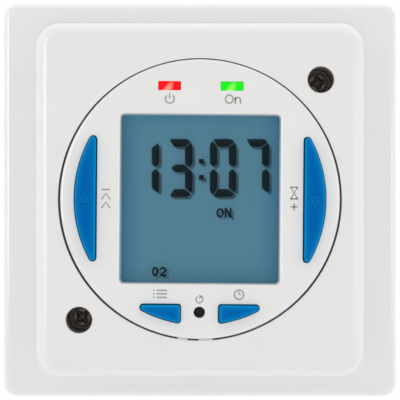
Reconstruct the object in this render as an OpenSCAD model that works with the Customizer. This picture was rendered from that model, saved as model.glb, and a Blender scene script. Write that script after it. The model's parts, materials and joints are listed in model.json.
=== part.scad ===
// Timer light switch for a single square wall box: a wall plate with a rear housing for the mains board,
// and a screwed-on timer module with a display, four push buttons, a reset pin and two indicator lights.
// Every sub-part is drawn lying face up: X to the right, Y up the face, Z from the wall towards the viewer.
// The last step stands the switch upright, so that its face looks along -Y and the wall plane is Y = 0.

/* [Wall plate] */
// Side of the square plate
plate_side = 86; // [84:0.5:90]
// Distance from the wall to the plate's front face
plate_depth = 9.5; // [9:0.1:11]
// Corner radius of the plate, seen from the front
plate_corner_r = 3; // [2:0.1:5]
// Rounding of the plate's front edge
plate_edge_r = 1.4; // [0.6:0.1:1.9]
// Wall of the plate's rim and of its well
plate_wall = 2.2; // [1.6:0.1:2.4]
// Floor of the well that the timer module stands on
floor_t = 2.5; // [2:0.1:2.8]
// Width of the ribs that stiffen the rim
rib_t = 1.2; // [0.8:0.1:2]
// Distance between the two wall box screws
fixing_pitch = 60.3; // [59:0.1:60.5]
// Clearance hole for a wall box screw
fixing_hole_d = 4.2; // [3.8:0.1:4.6]
// Diameter kept free round the head of a wall box screw
fixing_head_d = 9; // [8:0.1:9.4]

/* [Front cover] */
// Width of the raised cover
cover_w = 71; // [70.6:0.1:73]
// Height of the raised cover
cover_h = 76.4; // [75:0.1:78]
// How far the cover stands out of the plate
cover_rise = 5; // [4.6:0.1:7]
// Corner radius of the cover, seen from the front
cover_corner_r = 4.4; // [4:0.1:6]
// Rounding of the cover's front edge
cover_edge_r = 2.5; // [1:0.1:3.4]
// Width of the cover's foot on the plate
cover_wall = 1.8; // [1.4:0.1:1.9]
// Thickness of the cover's front
cover_top_t = 2; // [1.6:0.1:2.2]
// Lip of the cover that drops into the plate's well
lip_t = 0.8; // [0.6:0.1:0.9]
// Depth of that lip below the plate's front face
lip_drop = 2; // [1:0.1:3]

/* [Fascia disc] */
// Diameter of the round fascia
disc_d = 60; // [59.5:0.1:60.4]
// Gap between the fascia and the cover round it
disc_gap = 0.35; // [0.2:0.05:0.5]
// How far the fascia stands out of the cover
disc_proud = 0.4; // [0.1:0.1:0.8]
// Thickness of the fascia
disc_t = 1.8; // [1.5:0.1:1.9]
// Rounding of the fascia's rim
disc_edge_r = 0.6; // [0.2:0.1:1]
// Wall of the fascia's skirt
skirt_t = 1.6; // [1.2:0.1:1.7]
// Thickness of the flange that holds the fascia behind the cover
flange_t = 1.2; // [0.9:0.1:1.2]
// How far that flange reaches past the fascia
flange_reach = 2; // [1:0.1:2.1]
// Width of the display window
window_w = 34.1; // [30:0.1:34.5]
// Height of the display window
window_h = 36.2; // [32:0.1:36.6]
// Corner radius of the display window
window_corner_r = 0.8; // [0.4:0.1:2]
// Height of the window's centre above the plate's centre
window_y = 0.2; // [0:0.1:0.3]

/* [Buttons] */
// Outer radius that all four buttons follow
button_arc_r = 26.9; // [26.5:0.1:27.1]
// Distance from the centre to the straight side of a side button
side_chord_x = 22.1; // [21.9:0.1:22.6]
// Length of a side button's opening from tip to tip
side_length = 26.8; // [25:0.1:27.2]
// Distance from the centre down to the top of a lower button
lower_top_y = 22.2; // [22.1:0.1:22.6]
// Distance from the middle to the inner side of a lower button
lower_inner_x = 3.95; // [3.6:0.05:4.2]
// Distance from the middle to the outer tip of a lower button
lower_end_x = 12.9; // [12.4:0.1:13.2]
// Bevel on the tips and corners of the buttons
tip_bevel = 0.4; // [0.2:0.05:0.5]
// Gap between a button and its opening
button_gap = 0.22; // [0.15:0.01:0.3]
// How far the buttons stand out of the fascia
button_proud = 0.8; // [0.5:0.1:1.5]
// Chamfer round a button's face
button_chamfer = 0.35; // [0.2:0.05:0.45]
// How far a button is pushed in to switch
button_travel = 0.5; // [0.3:0.05:0.55]
// Height of the arrow raised on a side button
arrow_rise = 0.15; // [0.1:0.05:0.3]
// Diameter of the reset hole
reset_hole_d = 2.3; // [1.8:0.1:2.6]

/* [Screws] */
// Distance of each module screw from the vertical and horizontal centre lines
module_screw_xy = 25.9; // [25.8:0.1:26.2]
// Hole in the cover above a module screw
screw_hole_d = 5.6; // [5.4:0.1:5.8]
// Diameter of a module screw's thread
module_screw_d = 2.9; // [2.6:0.1:3]
// Diameter of a module screw's head
module_head_d = 5; // [4.6:0.1:5.2]

/* [Rear housing] */
// Width of the rear housing
housing_w = 45; // [44.8:0.1:45.4]
// Height of the rear housing
housing_h = 54; // [53.8:0.1:56]
// Depth of the rear housing behind the wall plane
housing_depth = 22; // [21.4:0.1:25]
// Wall of the rear housing
housing_wall = 1.8; // [1.4:0.1:1.9]
// Corner radius of the rear housing
housing_corner_r = 3; // [2.5:0.1:4]

/* [Terminals] */
// Distance between neighbouring terminals
pole_pitch = 8; // [7.9:0.1:8.05]
// Width and height of a terminal's wire entry
wire_entry = 4.4; // [4.3:0.1:4.5]
// Travel of a wire clamp from open to closed
clamp_travel = 3; // [2:0.1:3.1]
// Diameter of a terminal screw's thread
terminal_screw_d = 2.9; // [2.5:0.1:3]

/* [Hidden] */
$fn = 64;
eps = 0.01;
side_signs = [-1, 1];
corner_signs = [[1, 1], [-1, 1], [-1, -1], [1, -1]];

// Clearances between pieces
loose_fit = 0.3;
slip_fit = 0.15;
pin_fit = 0.1;
thread_fit = 0.05;
insert_fit = 0.02;

// Levels of the module, counted from the wall
cover_top_z = plate_depth + cover_rise;
cover_in_z = cover_top_z - cover_top_t;
flange_z = cover_in_z - flange_t;
disc_face_z = cover_top_z + disc_proud;
disc_in_z = disc_face_z - disc_t;
gasket_t = 0.5;
glass_t = 1.1;
backlight_t = 1.4;
board_t = 1.6;
glass_top_z = disc_in_z - gasket_t;
rear_glass_top_z = glass_top_z - glass_t;
backlight_top_z = rear_glass_top_z - glass_t;
board_top_z = backlight_top_z - backlight_t;
board_z = board_top_z - board_t;

// Wall plate
well_w = cover_w - 2 * cover_wall;
well_h = cover_h - 2 * cover_wall;
well_corner_r = cover_corner_r - cover_wall;
insert_depth = 6;
insert_r = 2.2;
boss_wall = 0.8;
boss_r = insert_r + boss_wall;
boss_depth = insert_depth + 0.5;
rib_spacing = 22;
rib_inset = 1;
peg_r = 1.5;
peg_x = 18.5;
peg_ys = [14, -10];

// Front cover
opening_r = disc_d / 2 + disc_gap;
lip_w = well_w - 2 * slip_fit;
lip_h = well_h - 2 * slip_fit;
lip_corner_r = well_corner_r - slip_fit;
cover_boss_r = 2.2;
cover_boss_inset = [4.2, 4.1];
cover_boss_xy = [well_w / 2 - cover_boss_inset[0], well_h / 2 - cover_boss_inset[1]];
cover_boss_roof = 1.5;
lug_gap = 0.06;
lug_recess = 0.5;
lug_spans = [[-9.2, -5.1], [-0.6, 5.1]];

// Fascia disc
flange_r = disc_d / 2 + flange_reach;
skirt_r = disc_d / 2 - skirt_t;
fascia_boss_r = 1.6;
fascia_boss_xys = [[14.8, 23.5], [-14.8, 23.5], [15.7, -23.1], [-15.7, -23.1]];
reset_y = -24;
reset_guide_wall = 1.05;
reset_guide_t = 0.8;

// Indicator lights
led_size = [4.85, 1.95];
led_xys = [[-6.45, 24.3], [6.9, 24.25]];
led_base_margin = 0.35;
led_base_t = 1;
led_gap = 0.06;
led_leg = 0.5;
led_leg_pitch = 2.54;
led_leg_tail = 1.2;

// Buttons and the key switches behind them
button_flange = 0.7;
button_flange_t = 1;
button_flange_z = disc_in_z - button_flange_t;
button_top_z = disc_face_z + button_proud;
cap_z = button_flange_z + button_flange_t / 2;
guide_pin_r = 0.8;
guide_tail = 0.8;
side_pin_xys = [[24, 7.5], [24, -7.5]];
lower_pin_xys = [[11.2, -23.2]];
switch_side = 5.2;
switch_h = 2;
switch_floor = 0.6;
plunger_r = 1.5;
plunger_rise = button_travel + pin_fit;
nib_r = 1.2;
side_switch_xy = [24.2, 0];
lower_switch_xy = [7.1, -24.2];
reset_switch_xy = [0, reset_y];
switch_xys = [
    [-side_switch_xy[0], side_switch_xy[1]],
    side_switch_xy,
    [-lower_switch_xy[0], lower_switch_xy[1]],
    lower_switch_xy,
    reset_switch_xy,
];
switch_top_z = board_top_z + switch_h;
plunger_top_z = switch_top_z + plunger_rise;
dome_z = board_top_z + switch_floor;
dome_h = 0.7;
dome_t = 0.08;
dome_r = plunger_r - 0.05;
plunger_z = dome_z + dome_h;
reset_flange_r = 1.9;
reset_flange_t = 0.6;
reset_recess = 1;
arrow_size = [2.3, 2];
button_blue = [0.01, 0.41, 0.69];

// Display
glass_margin = [2, 2.2];
glass_w = window_w + 2 * glass_margin[0];
glass_h = window_h + 2 * glass_margin[1];
gasket_lap = 0.45;
frame_wall = 0.6;
frame_top_z = flange_z - slip_fit;
backlight_inset = 0.25;
backlight_w = glass_w - 2 * backlight_inset;
zebra_inset = 1.25;
zebra_gap = 0.25;
zebra_t = 1.9;
zebra_size = [glass_w - 2 * zebra_inset, zebra_t];
rear_glass_h = glass_h - 2 * (zebra_gap + zebra_t + slip_fit);
zebra_y = rear_glass_h / 2 + zebra_gap + zebra_t / 2;

// Chassis
chassis_t = 1.5;
chassis_floor_z = floor_t + chassis_t;
ring_r = flange_r + 0.4;
ring_t = 1.1;
tube_wall = 1;
fixing_head_room = 4;

// Control board and what it carries on its rear face
control_board_r = ring_r - ring_t - loose_fit;
cell_d = 16;
cell_t = 1.6;
cell_xy = [-13, -8];
clip_w = 4;
clip_t = 0.3;
chip_xy = [11, -5];
chip_side = 10;
chip_t = 1.4;
chip_leads = 8;
chip_lead_pitch = 1.2;
chip_lead = [1, 0.4, 0.2];
header_ways = 5;
header_pitch = 2.54;
header_pin = 0.64;
header_hole = 1;
header_w = header_ways * header_pitch;
socket_size = [header_w + 1.8, 5, board_z - chassis_floor_z - 0.2];
socket_roof = 0.2;
header_base_h = 2.5;
header_opening = [header_w + 4, 7];
header_peg_gap = 0.25;
header_centre = [peg_x - peg_r - header_peg_gap - header_opening[0] / 2, peg_ys[0]];
header_tail = 1;

// Screws that hold the module and the housing together
board_screw_d = 1.5;
small_screw_d = 2;
board_head = [3, 1.2];
small_head = [4, 1.3];
module_head_h = 1.9;
cross_w = 0.85;
cross_span = 3;
cross_depth = 1.1;
module_screw_turns = [8, 40];
module_screw_signs = [1, -1];
module_screw_tail = 5;
housing_post_inset = [3.9, 4];
housing_post_r = 2.3;
housing_post_h = 12;
pole_count = 4;
block_w = pole_count * pole_pitch;
housing_post_xy = [
    max(housing_w / 2 - housing_post_inset[0], block_w / 2 + housing_post_r + loose_fit),
    housing_h / 2 - housing_post_inset[1],
];

// Mains board inside the rear housing
mains_gap = 2;
mains_z = -mains_gap - board_t;
mains_w = housing_w - 2 * housing_wall - 2 * loose_fit;
mains_h = housing_h - 2 * housing_wall - 2 * loose_fit;
ledge_depth = 3;
ledge_w = 3;
lead_r = 0.4;
lead_hole_r = 0.6;
lead_tail = 0.8;

// Terminal block, with depths counted from the mains board's rear face
block_d = 11;
block_y = -housing_h / 2 + housing_wall + loose_fit + block_d / 2;
cavity_w = 6.6;
cavity_d = 7.2;
cavity_low = 3.8;
seat_t = 0.8;
cage_w = 6;
cage_d = 6;
cage_wall = 1;
cage_low = 4;
cage_side_wall = 0.7;
contact_w = 3.6;
contact_t = 1.2;
contact_low = cage_low + cage_wall + wire_entry;
contact_tail_y = 3.1;
contact_tail_t = 0.4;
contact_pin_w = 1.2;
contact_pin_hole_r = 0.9;
cage_high = contact_low + contact_t + cage_wall + loose_fit;
cavity_high = cage_high + clamp_travel + loose_fit;
seat_high = cavity_high + seat_t;
terminal_head = [4.2, 1.8];
block_h = seat_high + terminal_head[1] + loose_fit;
terminal_slot = [0.7, 1];
block_window_gap = 0.2;

// Relay, with places counted from the coil's axis and depths from the mains board's rear face
relay_wall = 0.8;
relay_base_t = 1.6;
relay_rear_gap = 1.1;
relay_h = housing_depth - housing_wall - relay_rear_gap + mains_z;
core_r = 2;
pole_r = 3;
pole_t = 0.6;
bobbin_tube_t = 0.8;
bobbin_tube_r = core_r + pin_fit + bobbin_tube_t;
winding_t = 1.5;
coil_r = bobbin_tube_r + winding_t;
bobbin_flange_t = 0.7;
bobbin_lap = 0.2;
bobbin_ear = 1.6;
bobbin_flange = [2 * (coil_r + bobbin_lap), 2 * (coil_r + bobbin_lap + bobbin_ear)];
coil_pin = 0.6;
coil_pin_y = bobbin_flange[1] / 2 - coil_pin;
yoke_t = 1.2;
yoke_w = 8;
yoke_gap = 1.7;
yoke_foot_lap = 1;
yoke_rise = 0.6;
yoke_x = -bobbin_flange[0] / 2 - yoke_gap - yoke_t;
yoke_foot_x = pole_r + yoke_foot_lap;
hinge_r = 0.3;
hinge_x = yoke_x + yoke_t / 2;
armature_t = 1;
armature_laps = [0.6, 1.2];
armature_x = [yoke_x - armature_laps[0], pole_r + armature_laps[1]];
arm_t = 0.3;
arm_w = 3;
arm_reach = 2.8;
contact_x = armature_x[1] + arm_reach;
contact_r = 1;
contact_drop = 0.6;
contact_stroke = 1.05;
button_r = 0.9;
arm_x = [0, contact_x + button_r];
blade_t = 0.4;
blade_w = 2;
blade_y = 3;
blade_x = contact_x + contact_r + slip_fit;
blade_foot_x = contact_x - button_r + pin_fit;
blade_foot_y = 1;
relay_roof_gap = 0.4;
closed_contact_low = relay_h - relay_wall - relay_roof_gap - 2 * blade_t;
arm_low = closed_contact_low - pin_fit - 2 * arm_t;
armature_low = arm_low - armature_t;
hinge_depth = armature_low - thread_fit;
yoke_top = hinge_depth - hinge_r / 2;
core_top = yoke_top - yoke_rise;
coil_high = core_top - pole_t;
coil_low = relay_base_t + yoke_t;
open_contact_rise = 0.15;
open_contact_low = arm_low - contact_drop - contact_stroke - open_contact_rise - blade_t;
relay_end_gap = 0.5;
relay_side_gap = 0.75;
relay_inside = [
    2 * max(blade_x + blade_t + slip_fit, relay_end_gap - armature_x[0]),
    bobbin_flange[1] + 2 * relay_side_gap,
];
relay_size = [
    relay_inside[0] + 2 * relay_wall,
    relay_inside[1] + 2 * relay_wall,
    relay_h,
];

// Places on the mains board, between the ledges that carry it
between_ledges = housing_w - 2 * housing_wall - 2 * ledge_depth;
relay_gap = [0.2, 0.95];
relay_xy = [
    -between_ledges / 2 + relay_gap[0] + relay_size[0] / 2,
    housing_post_xy[1] - housing_post_r - relay_gap[1] - relay_size[1] / 2,
];
film_cap_size = [14.5, 7, 13];
film_cap_pitch = 10;
film_cap_gap = [0.6, 3];
film_cap_xy = [
    -between_ledges / 2 + film_cap_gap[0] + film_cap_size[0] / 2,
    relay_xy[1] - relay_size[1] / 2 - film_cap_gap[1] - film_cap_size[1] / 2,
];
round_cap_r = 5;
round_cap_h = 12.5;
round_cap_gap = 1.2;
round_cap_y = 1.5;
round_cap_xy = [between_ledges / 2 - round_cap_gap - round_cap_r, round_cap_y];
round_cap_pitch = 5;
round_cap_groove = [0.4, 0.8];

// Outlines and shapes that several sub-parts share

// Stands the face-up switch upright: its face looks along -Y and its top points along +Z.
module stand() {
    rotate([90, 0, 0])
        children();
}

// A quarter of a disc in the first quadrant.
module quarter(r) {
    intersection() {
        circle(r);
        square(r);
    }
}

module rounded_rect(w, h, r) {
    square([w - 2 * r, h], center = true);
    square([w, h - 2 * r], center = true);
    for (i = [0 : 3])
        translate([corner_signs[i][0] * (w / 2 - r), corner_signs[i][1] * (h / 2 - r)])
            rotate(90 * i)
                quarter(r);
}

// A rounded rectangle between two levels.
module block(w, h, r, low, high) {
    translate([0, 0, low])
        linear_extrude(high - low)
            rounded_rect(w, h, r);
}

// A square-cornered box centred on a point of the face, between two levels.
module box_at(xy, size, low, high) {
    translate([xy[0] - size[0] / 2, xy[1] - size[1] / 2, low])
        cube([size[0], size[1], high - low]);
}

// A cylinder centred on a point of the face, between two levels.
module post_at(xy, r, low, high) {
    translate([xy[0], xy[1], low])
        cylinder(r = r, h = high - low);
}

// Section through a slab's edge, with its upper outer corner rounded.
module edge_section(reach, t, r) {
    square([reach, t - r]);
    square([reach - r, t]);
    translate([reach - r, t - r])
        quarter(r);
}

// A straight run of a slab's edge, centred on X = 0 and reaching outwards along +X.
module soft_edge(length, reach, t, edge_r) {
    rotate([90, 0, 0])
        linear_extrude(length, center = true)
            edge_section(reach, t, edge_r);
}

// A turn of a slab's edge about the Z axis between two angles.
module soft_turn(from, to, reach, t, edge_r) {
    rotate(from)
        rotate_extrude(angle = to - from)
            edge_section(reach, t, edge_r);
}

// A slab with rounded corners and a rounded front edge.
module soft_slab(w, h, corner_r, t, edge_r) {
    box_at([0, 0], [w - 2 * corner_r, h - 2 * corner_r], 0, t);
    for (i = [0 : 3]) {
        across = i % 2 == 0 ? w : h;
        along = i % 2 == 0 ? h : w;
        rotate(90 * i)
            translate([across / 2 - corner_r, 0, 0])
                soft_edge(along - 2 * corner_r, corner_r, t, edge_r);
        translate([corner_signs[i][0] * (w / 2 - corner_r), corner_signs[i][1] * (h / 2 - corner_r), 0])
            soft_turn(90 * i, 90 * i + 90, corner_r, t, edge_r);
    }
}

// Outline of the right side button, grown all round: an arc, a straight side and two blunt tips.
module crescent(grow) {
    chord = side_chord_x - grow;
    half = side_length / 2 + grow;
    far = button_arc_r + grow + 1;
    intersection() {
        circle(button_arc_r + grow);
        polygon([
            [chord + tip_bevel, half], [far, half], [far, -half], [chord + tip_bevel, -half],
            [chord, tip_bevel - half], [chord, half - tip_bevel],
        ]);
    }
}

// Outline of the lower right button, grown all round: a flat top, a straight inner side, an arc and
// a blunt tip.
module lower_wedge(grow) {
    top = -lower_top_y + grow;
    inner = lower_inner_x - grow;
    end = lower_end_x + grow;
    far = -button_arc_r - grow - 1;
    intersection() {
        circle(button_arc_r + grow);
        polygon([
            [inner + tip_bevel, top], [end - tip_bevel, top], [end, top - tip_bevel],
            [end, far], [inner, far], [inner, top - tip_bevel],
        ]);
    }
}

// Cutter for a chamfer along the arc that all the buttons follow.
module arc_chamfer(r) {
    rotate_extrude()
        polygon([
            [r - button_chamfer - 1, button_top_z + 1],
            [r + 1, button_top_z - button_chamfer - 1],
            [r + 1, button_top_z + 1],
        ]);
}

// Cutter for a chamfer along a straight side at X = 0, with the button on its +X side.
module side_chamfer() {
    rotate([90, 0, 0])
        linear_extrude(2 * button_arc_r, center = true)
            polygon([
                [button_chamfer + 1, button_top_z + 1],
                [-1, button_top_z - button_chamfer - 1],
                [-1, button_top_z + 1],
            ]);
}

// The openings of all four buttons.
module button_openings() {
    for (s = side_signs)
        mirror([s > 0 ? 0 : 1, 0]) {
            crescent(0);
            lower_wedge(0);
        }
}

// A pan-headed screw along Z, with its head's seat at the level given and its shank pointing away.
// A head_up of 1 puts the head above its seat, and -1 below it.
module plain_screw(xy, seat, head, shank_d, length, head_up) {
    translate([xy[0], xy[1], seat])
        mirror([0, 0, head_up > 0 ? 0 : 1]) {
            cylinder(d = head[0], h = head[1]);
            translate([0, 0, -length])
                cylinder(d = shank_d, h = length);
        }
}

// The points (x, y), (-x, y), (-x, -y) and (x, -y).
function four(xy) = [for (s = corner_signs) [s[0] * xy[0], s[1] * xy[1]]];

// Module screws sit on one diagonal of the face.
function module_xy(i) = module_screw_signs[i] * [module_screw_xy, module_screw_xy];

// Wall plate

module rim_ribs() {
    channel_high = plate_depth - plate_wall;
    reach = plate_side / 2 - plate_wall / 2;
    for (i = [0 : 3], k = [-1 : 1]) {
        well_half = (i % 2 == 0 ? well_w : well_h) / 2;
        rotate(90 * i)
            translate([well_half + plate_wall / 2, k * rib_spacing - rib_t / 2, rib_inset])
                cube([reach - well_half - plate_wall / 2, rib_t, channel_high - rib_inset + eps]);
    }
}

module back_plate() {
    color("white") stand()
        difference() {
            union() {
                difference() {
                    soft_slab(plate_side, plate_side, plate_corner_r, plate_depth, plate_edge_r);
                    block(well_w, well_h, well_corner_r, floor_t, plate_depth + 1);
                    translate([0, 0, -1])
                        linear_extrude(plate_depth - plate_wall + 1)
                            difference() {
                                rounded_rect(plate_side - 2 * plate_wall, plate_side - 2 * plate_wall,
                                    max(plate_corner_r - plate_wall, 0.5));
                                rounded_rect(well_w + 2 * plate_wall, well_h + 2 * plate_wall,
                                    well_corner_r + plate_wall);
                            }
                }
                rim_ribs();
                for (i = [0, 1])
                    post_at(module_xy(i), boss_r, -boss_depth, eps);
                for (s = side_signs, y = peg_ys)
                    post_at([s * peg_x, y], peg_r, -mains_gap, eps);
            }
            for (s = side_signs)
                post_at([s * fixing_pitch / 2, 0], fixing_hole_d / 2, -1, floor_t + 1);
            for (i = [0, 1])
                post_at(module_xy(i), insert_r + insert_fit, -boss_depth - 1, floor_t + 1);
            for (xy = four(cover_boss_xy))
                post_at(xy, small_head[0] / 2 + loose_fit, -1, floor_t + 1);
            for (xy = four(housing_post_xy))
                post_at(xy, small_screw_d / 2 + loose_fit, -1, floor_t + 1);
            box_at(header_centre, header_opening, -1, floor_t + 1);
        }
}

module threaded_inserts() {
    color("goldenrod") stand()
        for (i = [0, 1])
            difference() {
                post_at(module_xy(i), insert_r, -insert_depth, floor_t);
                post_at(module_xy(i), module_screw_d / 2 + thread_fit, -boss_depth - 1, floor_t + 1);
            }
}

// Front cover

// Two small lugs at the bottom of the round opening that keep the fascia from turning.
module opening_lugs() {
    for (span = lug_spans)
        translate([0, 0, cover_in_z])
            rotate(span[0] - 90)
                rotate_extrude(angle = span[1] - span[0])
                    translate([disc_d / 2 + lug_gap, 0])
                        square([disc_gap - lug_gap + eps, cover_top_t - lug_recess]);
}

module front_cover() {
    color("white") stand() {
        difference() {
            union() {
                translate([0, 0, plate_depth])
                    soft_slab(cover_w, cover_h, cover_corner_r, cover_rise, cover_edge_r);
                block(lip_w, lip_h, lip_corner_r, plate_depth - lip_drop, plate_depth + eps);
            }
            block(lip_w - 2 * lip_t, lip_h - 2 * lip_t, lip_corner_r - lip_t,
                plate_depth - lip_drop - 1, cover_in_z);
            post_at([0, 0], opening_r, cover_in_z - 1, cover_top_z + 1);
            for (i = [0, 1])
                post_at(module_xy(i), screw_hole_d / 2, cover_in_z - 1, cover_top_z + 1);
        }
        opening_lugs();
        for (xy = four(cover_boss_xy))
            difference() {
                post_at(xy, cover_boss_r, chassis_floor_z, cover_in_z + eps);
                post_at(xy, small_screw_d / 2 + thread_fit,
                    chassis_floor_z - 1, cover_in_z - cover_boss_roof);
            }
    }
}

// Fascia disc

module fascia_section() {
    translate([0, disc_in_z])
        edge_section(disc_d / 2, disc_t, disc_edge_r);
    translate([skirt_r, flange_z])
        square([skirt_t, disc_in_z - flange_z]);
    translate([skirt_r, flange_z])
        square([flange_r - skirt_r, flange_t]);
}

module fascia_disc() {
    color("white") stand() {
        difference() {
            union() {
                rotate_extrude()
                    fascia_section();
                for (xy = fascia_boss_xys)
                    post_at(xy, fascia_boss_r, board_top_z, disc_in_z + eps);
                post_at(reset_switch_xy, reset_hole_d / 2 + reset_guide_wall,
                    disc_in_z - reset_guide_t, disc_in_z + eps);
            }
            translate([0, window_y, 0])
                block(window_w, window_h, window_corner_r, disc_in_z - 1, disc_face_z + 1);
            translate([0, 0, disc_in_z - 1])
                linear_extrude(disc_t + 2)
                    button_openings();
            for (xy = led_xys)
                box_at(xy, led_size + 2 * led_gap * [1, 1], disc_in_z - 1, disc_face_z + 1);
            post_at(reset_switch_xy, reset_hole_d / 2, disc_in_z - 2, disc_face_z + 1);
            for (xy = fascia_boss_xys)
                post_at(xy, board_screw_d / 2 + thread_fit, board_top_z - 1, disc_in_z);
        }
    }
}

// Buttons, each with a flange behind the fascia, guide pins through the board and a nib on its key switch

// Arrow raised on the face of a side button, pointing up the face for a sign of 1 and down for -1.
module arrow(sign) {
    polygon([
        [-arrow_size[0] / 2, -sign * arrow_size[1] / 2],
        [arrow_size[0] / 2, -sign * arrow_size[1] / 2],
        [0, sign * arrow_size[1] / 2],
    ]);
}

// A button from the outlines of its flange and its cap, and the cutters of the cap's straight sides.
module button(pins, nib) {
    translate([0, 0, button_flange_z])
        linear_extrude(button_flange_t)
            children(0);
    difference() {
        translate([0, 0, cap_z])
            linear_extrude(button_top_z - cap_z)
                children(1);
        arc_chamfer(button_arc_r - button_gap);
        children(2);
    }
    for (xy = pins)
        post_at(xy, guide_pin_r, board_z - guide_tail, button_flange_z + eps);
    post_at(nib, nib_r, plunger_top_z, button_flange_z + eps);
}

module side_button(arrow_sign) {
    button(side_pin_xys, side_switch_xy) {
        crescent(button_flange);
        crescent(-button_gap);
        translate([side_chord_x + button_gap, 0, 0])
            side_chamfer();
    }
    translate([(side_chord_x + button_arc_r) / 2, 0, button_top_z - button_chamfer])
        linear_extrude(arrow_rise + button_chamfer)
            arrow(arrow_sign);
}

module lower_button() {
    button(lower_pin_xys, lower_switch_xy) {
        lower_wedge(button_flange);
        lower_wedge(-button_gap);
        union() {
            translate([lower_inner_x + button_gap, 0, 0])
                side_chamfer();
            translate([0, -lower_top_y - button_gap, 0])
                rotate(-90)
                    side_chamfer();
        }
    }
}

module advance_button() {
    color(button_blue) stand()
        mirror([1, 0, 0])
            side_button(1);
}

module boost_button() {
    color(button_blue) stand()
        side_button(-1);
}

module program_button() {
    color(button_blue) stand()
        mirror([1, 0, 0])
            lower_button();
}

module clock_button() {
    color(button_blue) stand()
        lower_button();
}

// Black pin under the reset hole, pressed with a pen tip.
module reset_pin() {
    color([0.15, 0.14, 0.15]) stand() {
        post_at(reset_switch_xy, reset_flange_r, plunger_top_z, plunger_top_z + reset_flange_t);
        post_at(reset_switch_xy, reset_hole_d / 2 - pin_fit, plunger_top_z, disc_face_z - reset_recess);
    }
}

// Key switches: fixed bodies, a moving plunger each and a snap dome each

module switch_bodies() {
    color("dimgray") stand()
        for (xy = switch_xys)
            difference() {
                box_at(xy, [switch_side, switch_side], board_top_z, switch_top_z);
                post_at(xy, plunger_r + pin_fit, dome_z, switch_top_z + 1);
            }
}

module switch_plunger(i) {
    post_at(switch_xys[i], plunger_r, plunger_z, plunger_top_z);
}

module switch_dome(i) {
    ball_r = (dome_r * dome_r + dome_h * dome_h) / (2 * dome_h);
    translate([switch_xys[i][0], switch_xys[i][1], dome_z + dome_h - ball_r])
        rotate_extrude()
            intersection() {
                difference() {
                    circle(ball_r);
                    circle(ball_r - dome_t);
                }
                translate([0, ball_r - dome_h])
                    square([dome_r + 1, dome_h + 1]);
            }
}

module advance_plunger() {
    color("black") stand()
        switch_plunger(0);
}

module boost_plunger() {
    color("black") stand()
        switch_plunger(1);
}

module program_plunger() {
    color("black") stand()
        switch_plunger(2);
}

module clock_plunger() {
    color("black") stand()
        switch_plunger(3);
}

module reset_plunger() {
    color("black") stand()
        switch_plunger(4);
}

module advance_dome() {
    color("silver") stand()
        switch_dome(0);
}

module boost_dome() {
    color("silver") stand()
        switch_dome(1);
}

module program_dome() {
    color("silver") stand()
        switch_dome(2);
}

module clock_dome() {
    color("silver") stand()
        switch_dome(3);
}

module reset_dome() {
    color("silver") stand()
        switch_dome(4);
}

// Indicator lights: a flat-faced rectangular lens on a wider base, with two legs through the board
module led(i) {
    box_at(led_xys[i], led_size, board_top_z, disc_face_z);
    box_at(led_xys[i], led_size + 2 * led_base_margin * [1, 1], board_top_z, board_top_z + led_base_t);
    for (s = side_signs)
        box_at(led_xys[i] + [s * led_leg_pitch / 2, 0], [led_leg, led_leg],
            board_z - led_leg_tail, board_top_z + eps);
}

module power_led() {
    color("red") stand()
        led(0);
}

module on_led() {
    color("lime") stand()
        led(1);
}

// Display: gasket, two glasses, backlight, frame and the rubber contact strips

module lcd_gasket() {
    color("black") stand()
        translate([0, window_y, glass_top_z])
            linear_extrude(gasket_t)
                difference() {
                    square([glass_w, glass_h], center = true);
                    square([window_w + 2 * gasket_lap, window_h + 2 * gasket_lap], center = true);
                }
}

module lcd_front_glass() {
    color([0.3, 0.5, 0.58, 0.5]) stand()
        box_at([0, window_y], [glass_w, glass_h], rear_glass_top_z, glass_top_z);
}

module lcd_rear_glass() {
    color([0.3, 0.5, 0.58, 0.5]) stand()
        box_at([0, window_y], [glass_w, rear_glass_h], backlight_top_z, rear_glass_top_z);
}

module lcd_backlight() {
    color([0.32, 0.51, 0.59]) stand()
        box_at([0, window_y], [backlight_w, rear_glass_h], board_top_z, backlight_top_z);
}

module lcd_frame() {
    inner = [glass_w + 2 * slip_fit, glass_h + 2 * slip_fit];
    color("black") stand()
        translate([0, window_y, board_top_z])
            linear_extrude(frame_top_z - board_top_z)
                difference() {
                    square(inner + 2 * frame_wall * [1, 1], center = true);
                    square(inner, center = true);
                }
}

module zebra_strips() {
    color("lightpink") stand()
        for (s = side_signs)
            box_at([0, window_y + s * zebra_y], zebra_size, board_top_z, rear_glass_top_z);
}

// Chassis: the black inner frame that the module screws pull onto the wall plate
module chassis() {
    color([0.14, 0.13, 0.13]) stand()
        difference() {
            union() {
                block(well_w - 2 * loose_fit, well_h - 2 * loose_fit, well_corner_r - loose_fit,
                    floor_t, chassis_floor_z);
                difference() {
                    post_at([0, 0], ring_r, floor_t, flange_z);
                    post_at([0, 0], ring_r - ring_t, chassis_floor_z, flange_z + 1);
                }
                for (i = [0, 1])
                    post_at(module_xy(i), screw_hole_d / 2 + tube_wall, floor_t, cover_in_z);
            }
            for (i = [0, 1]) {
                post_at(module_xy(i), screw_hole_d / 2, chassis_floor_z, cover_in_z + 1);
                post_at(module_xy(i), module_screw_d / 2 + loose_fit, floor_t - 1, chassis_floor_z + 1);
            }
            for (s = side_signs)
                post_at([s * fixing_pitch / 2, 0], fixing_head_d / 2,
                    floor_t - 1, floor_t + fixing_head_room);
            for (xy = four(cover_boss_xy))
                post_at(xy, small_screw_d / 2 + slip_fit, floor_t - 1, chassis_floor_z + 1);
            for (xy = four(housing_post_xy))
                post_at(xy, small_head[0] / 2 + loose_fit, floor_t - 1, chassis_floor_z + 1);
            box_at(header_centre, header_opening + [1, 1], floor_t - 1, chassis_floor_z + 1);
        }
}

// Control board and the parts on its rear face

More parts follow.
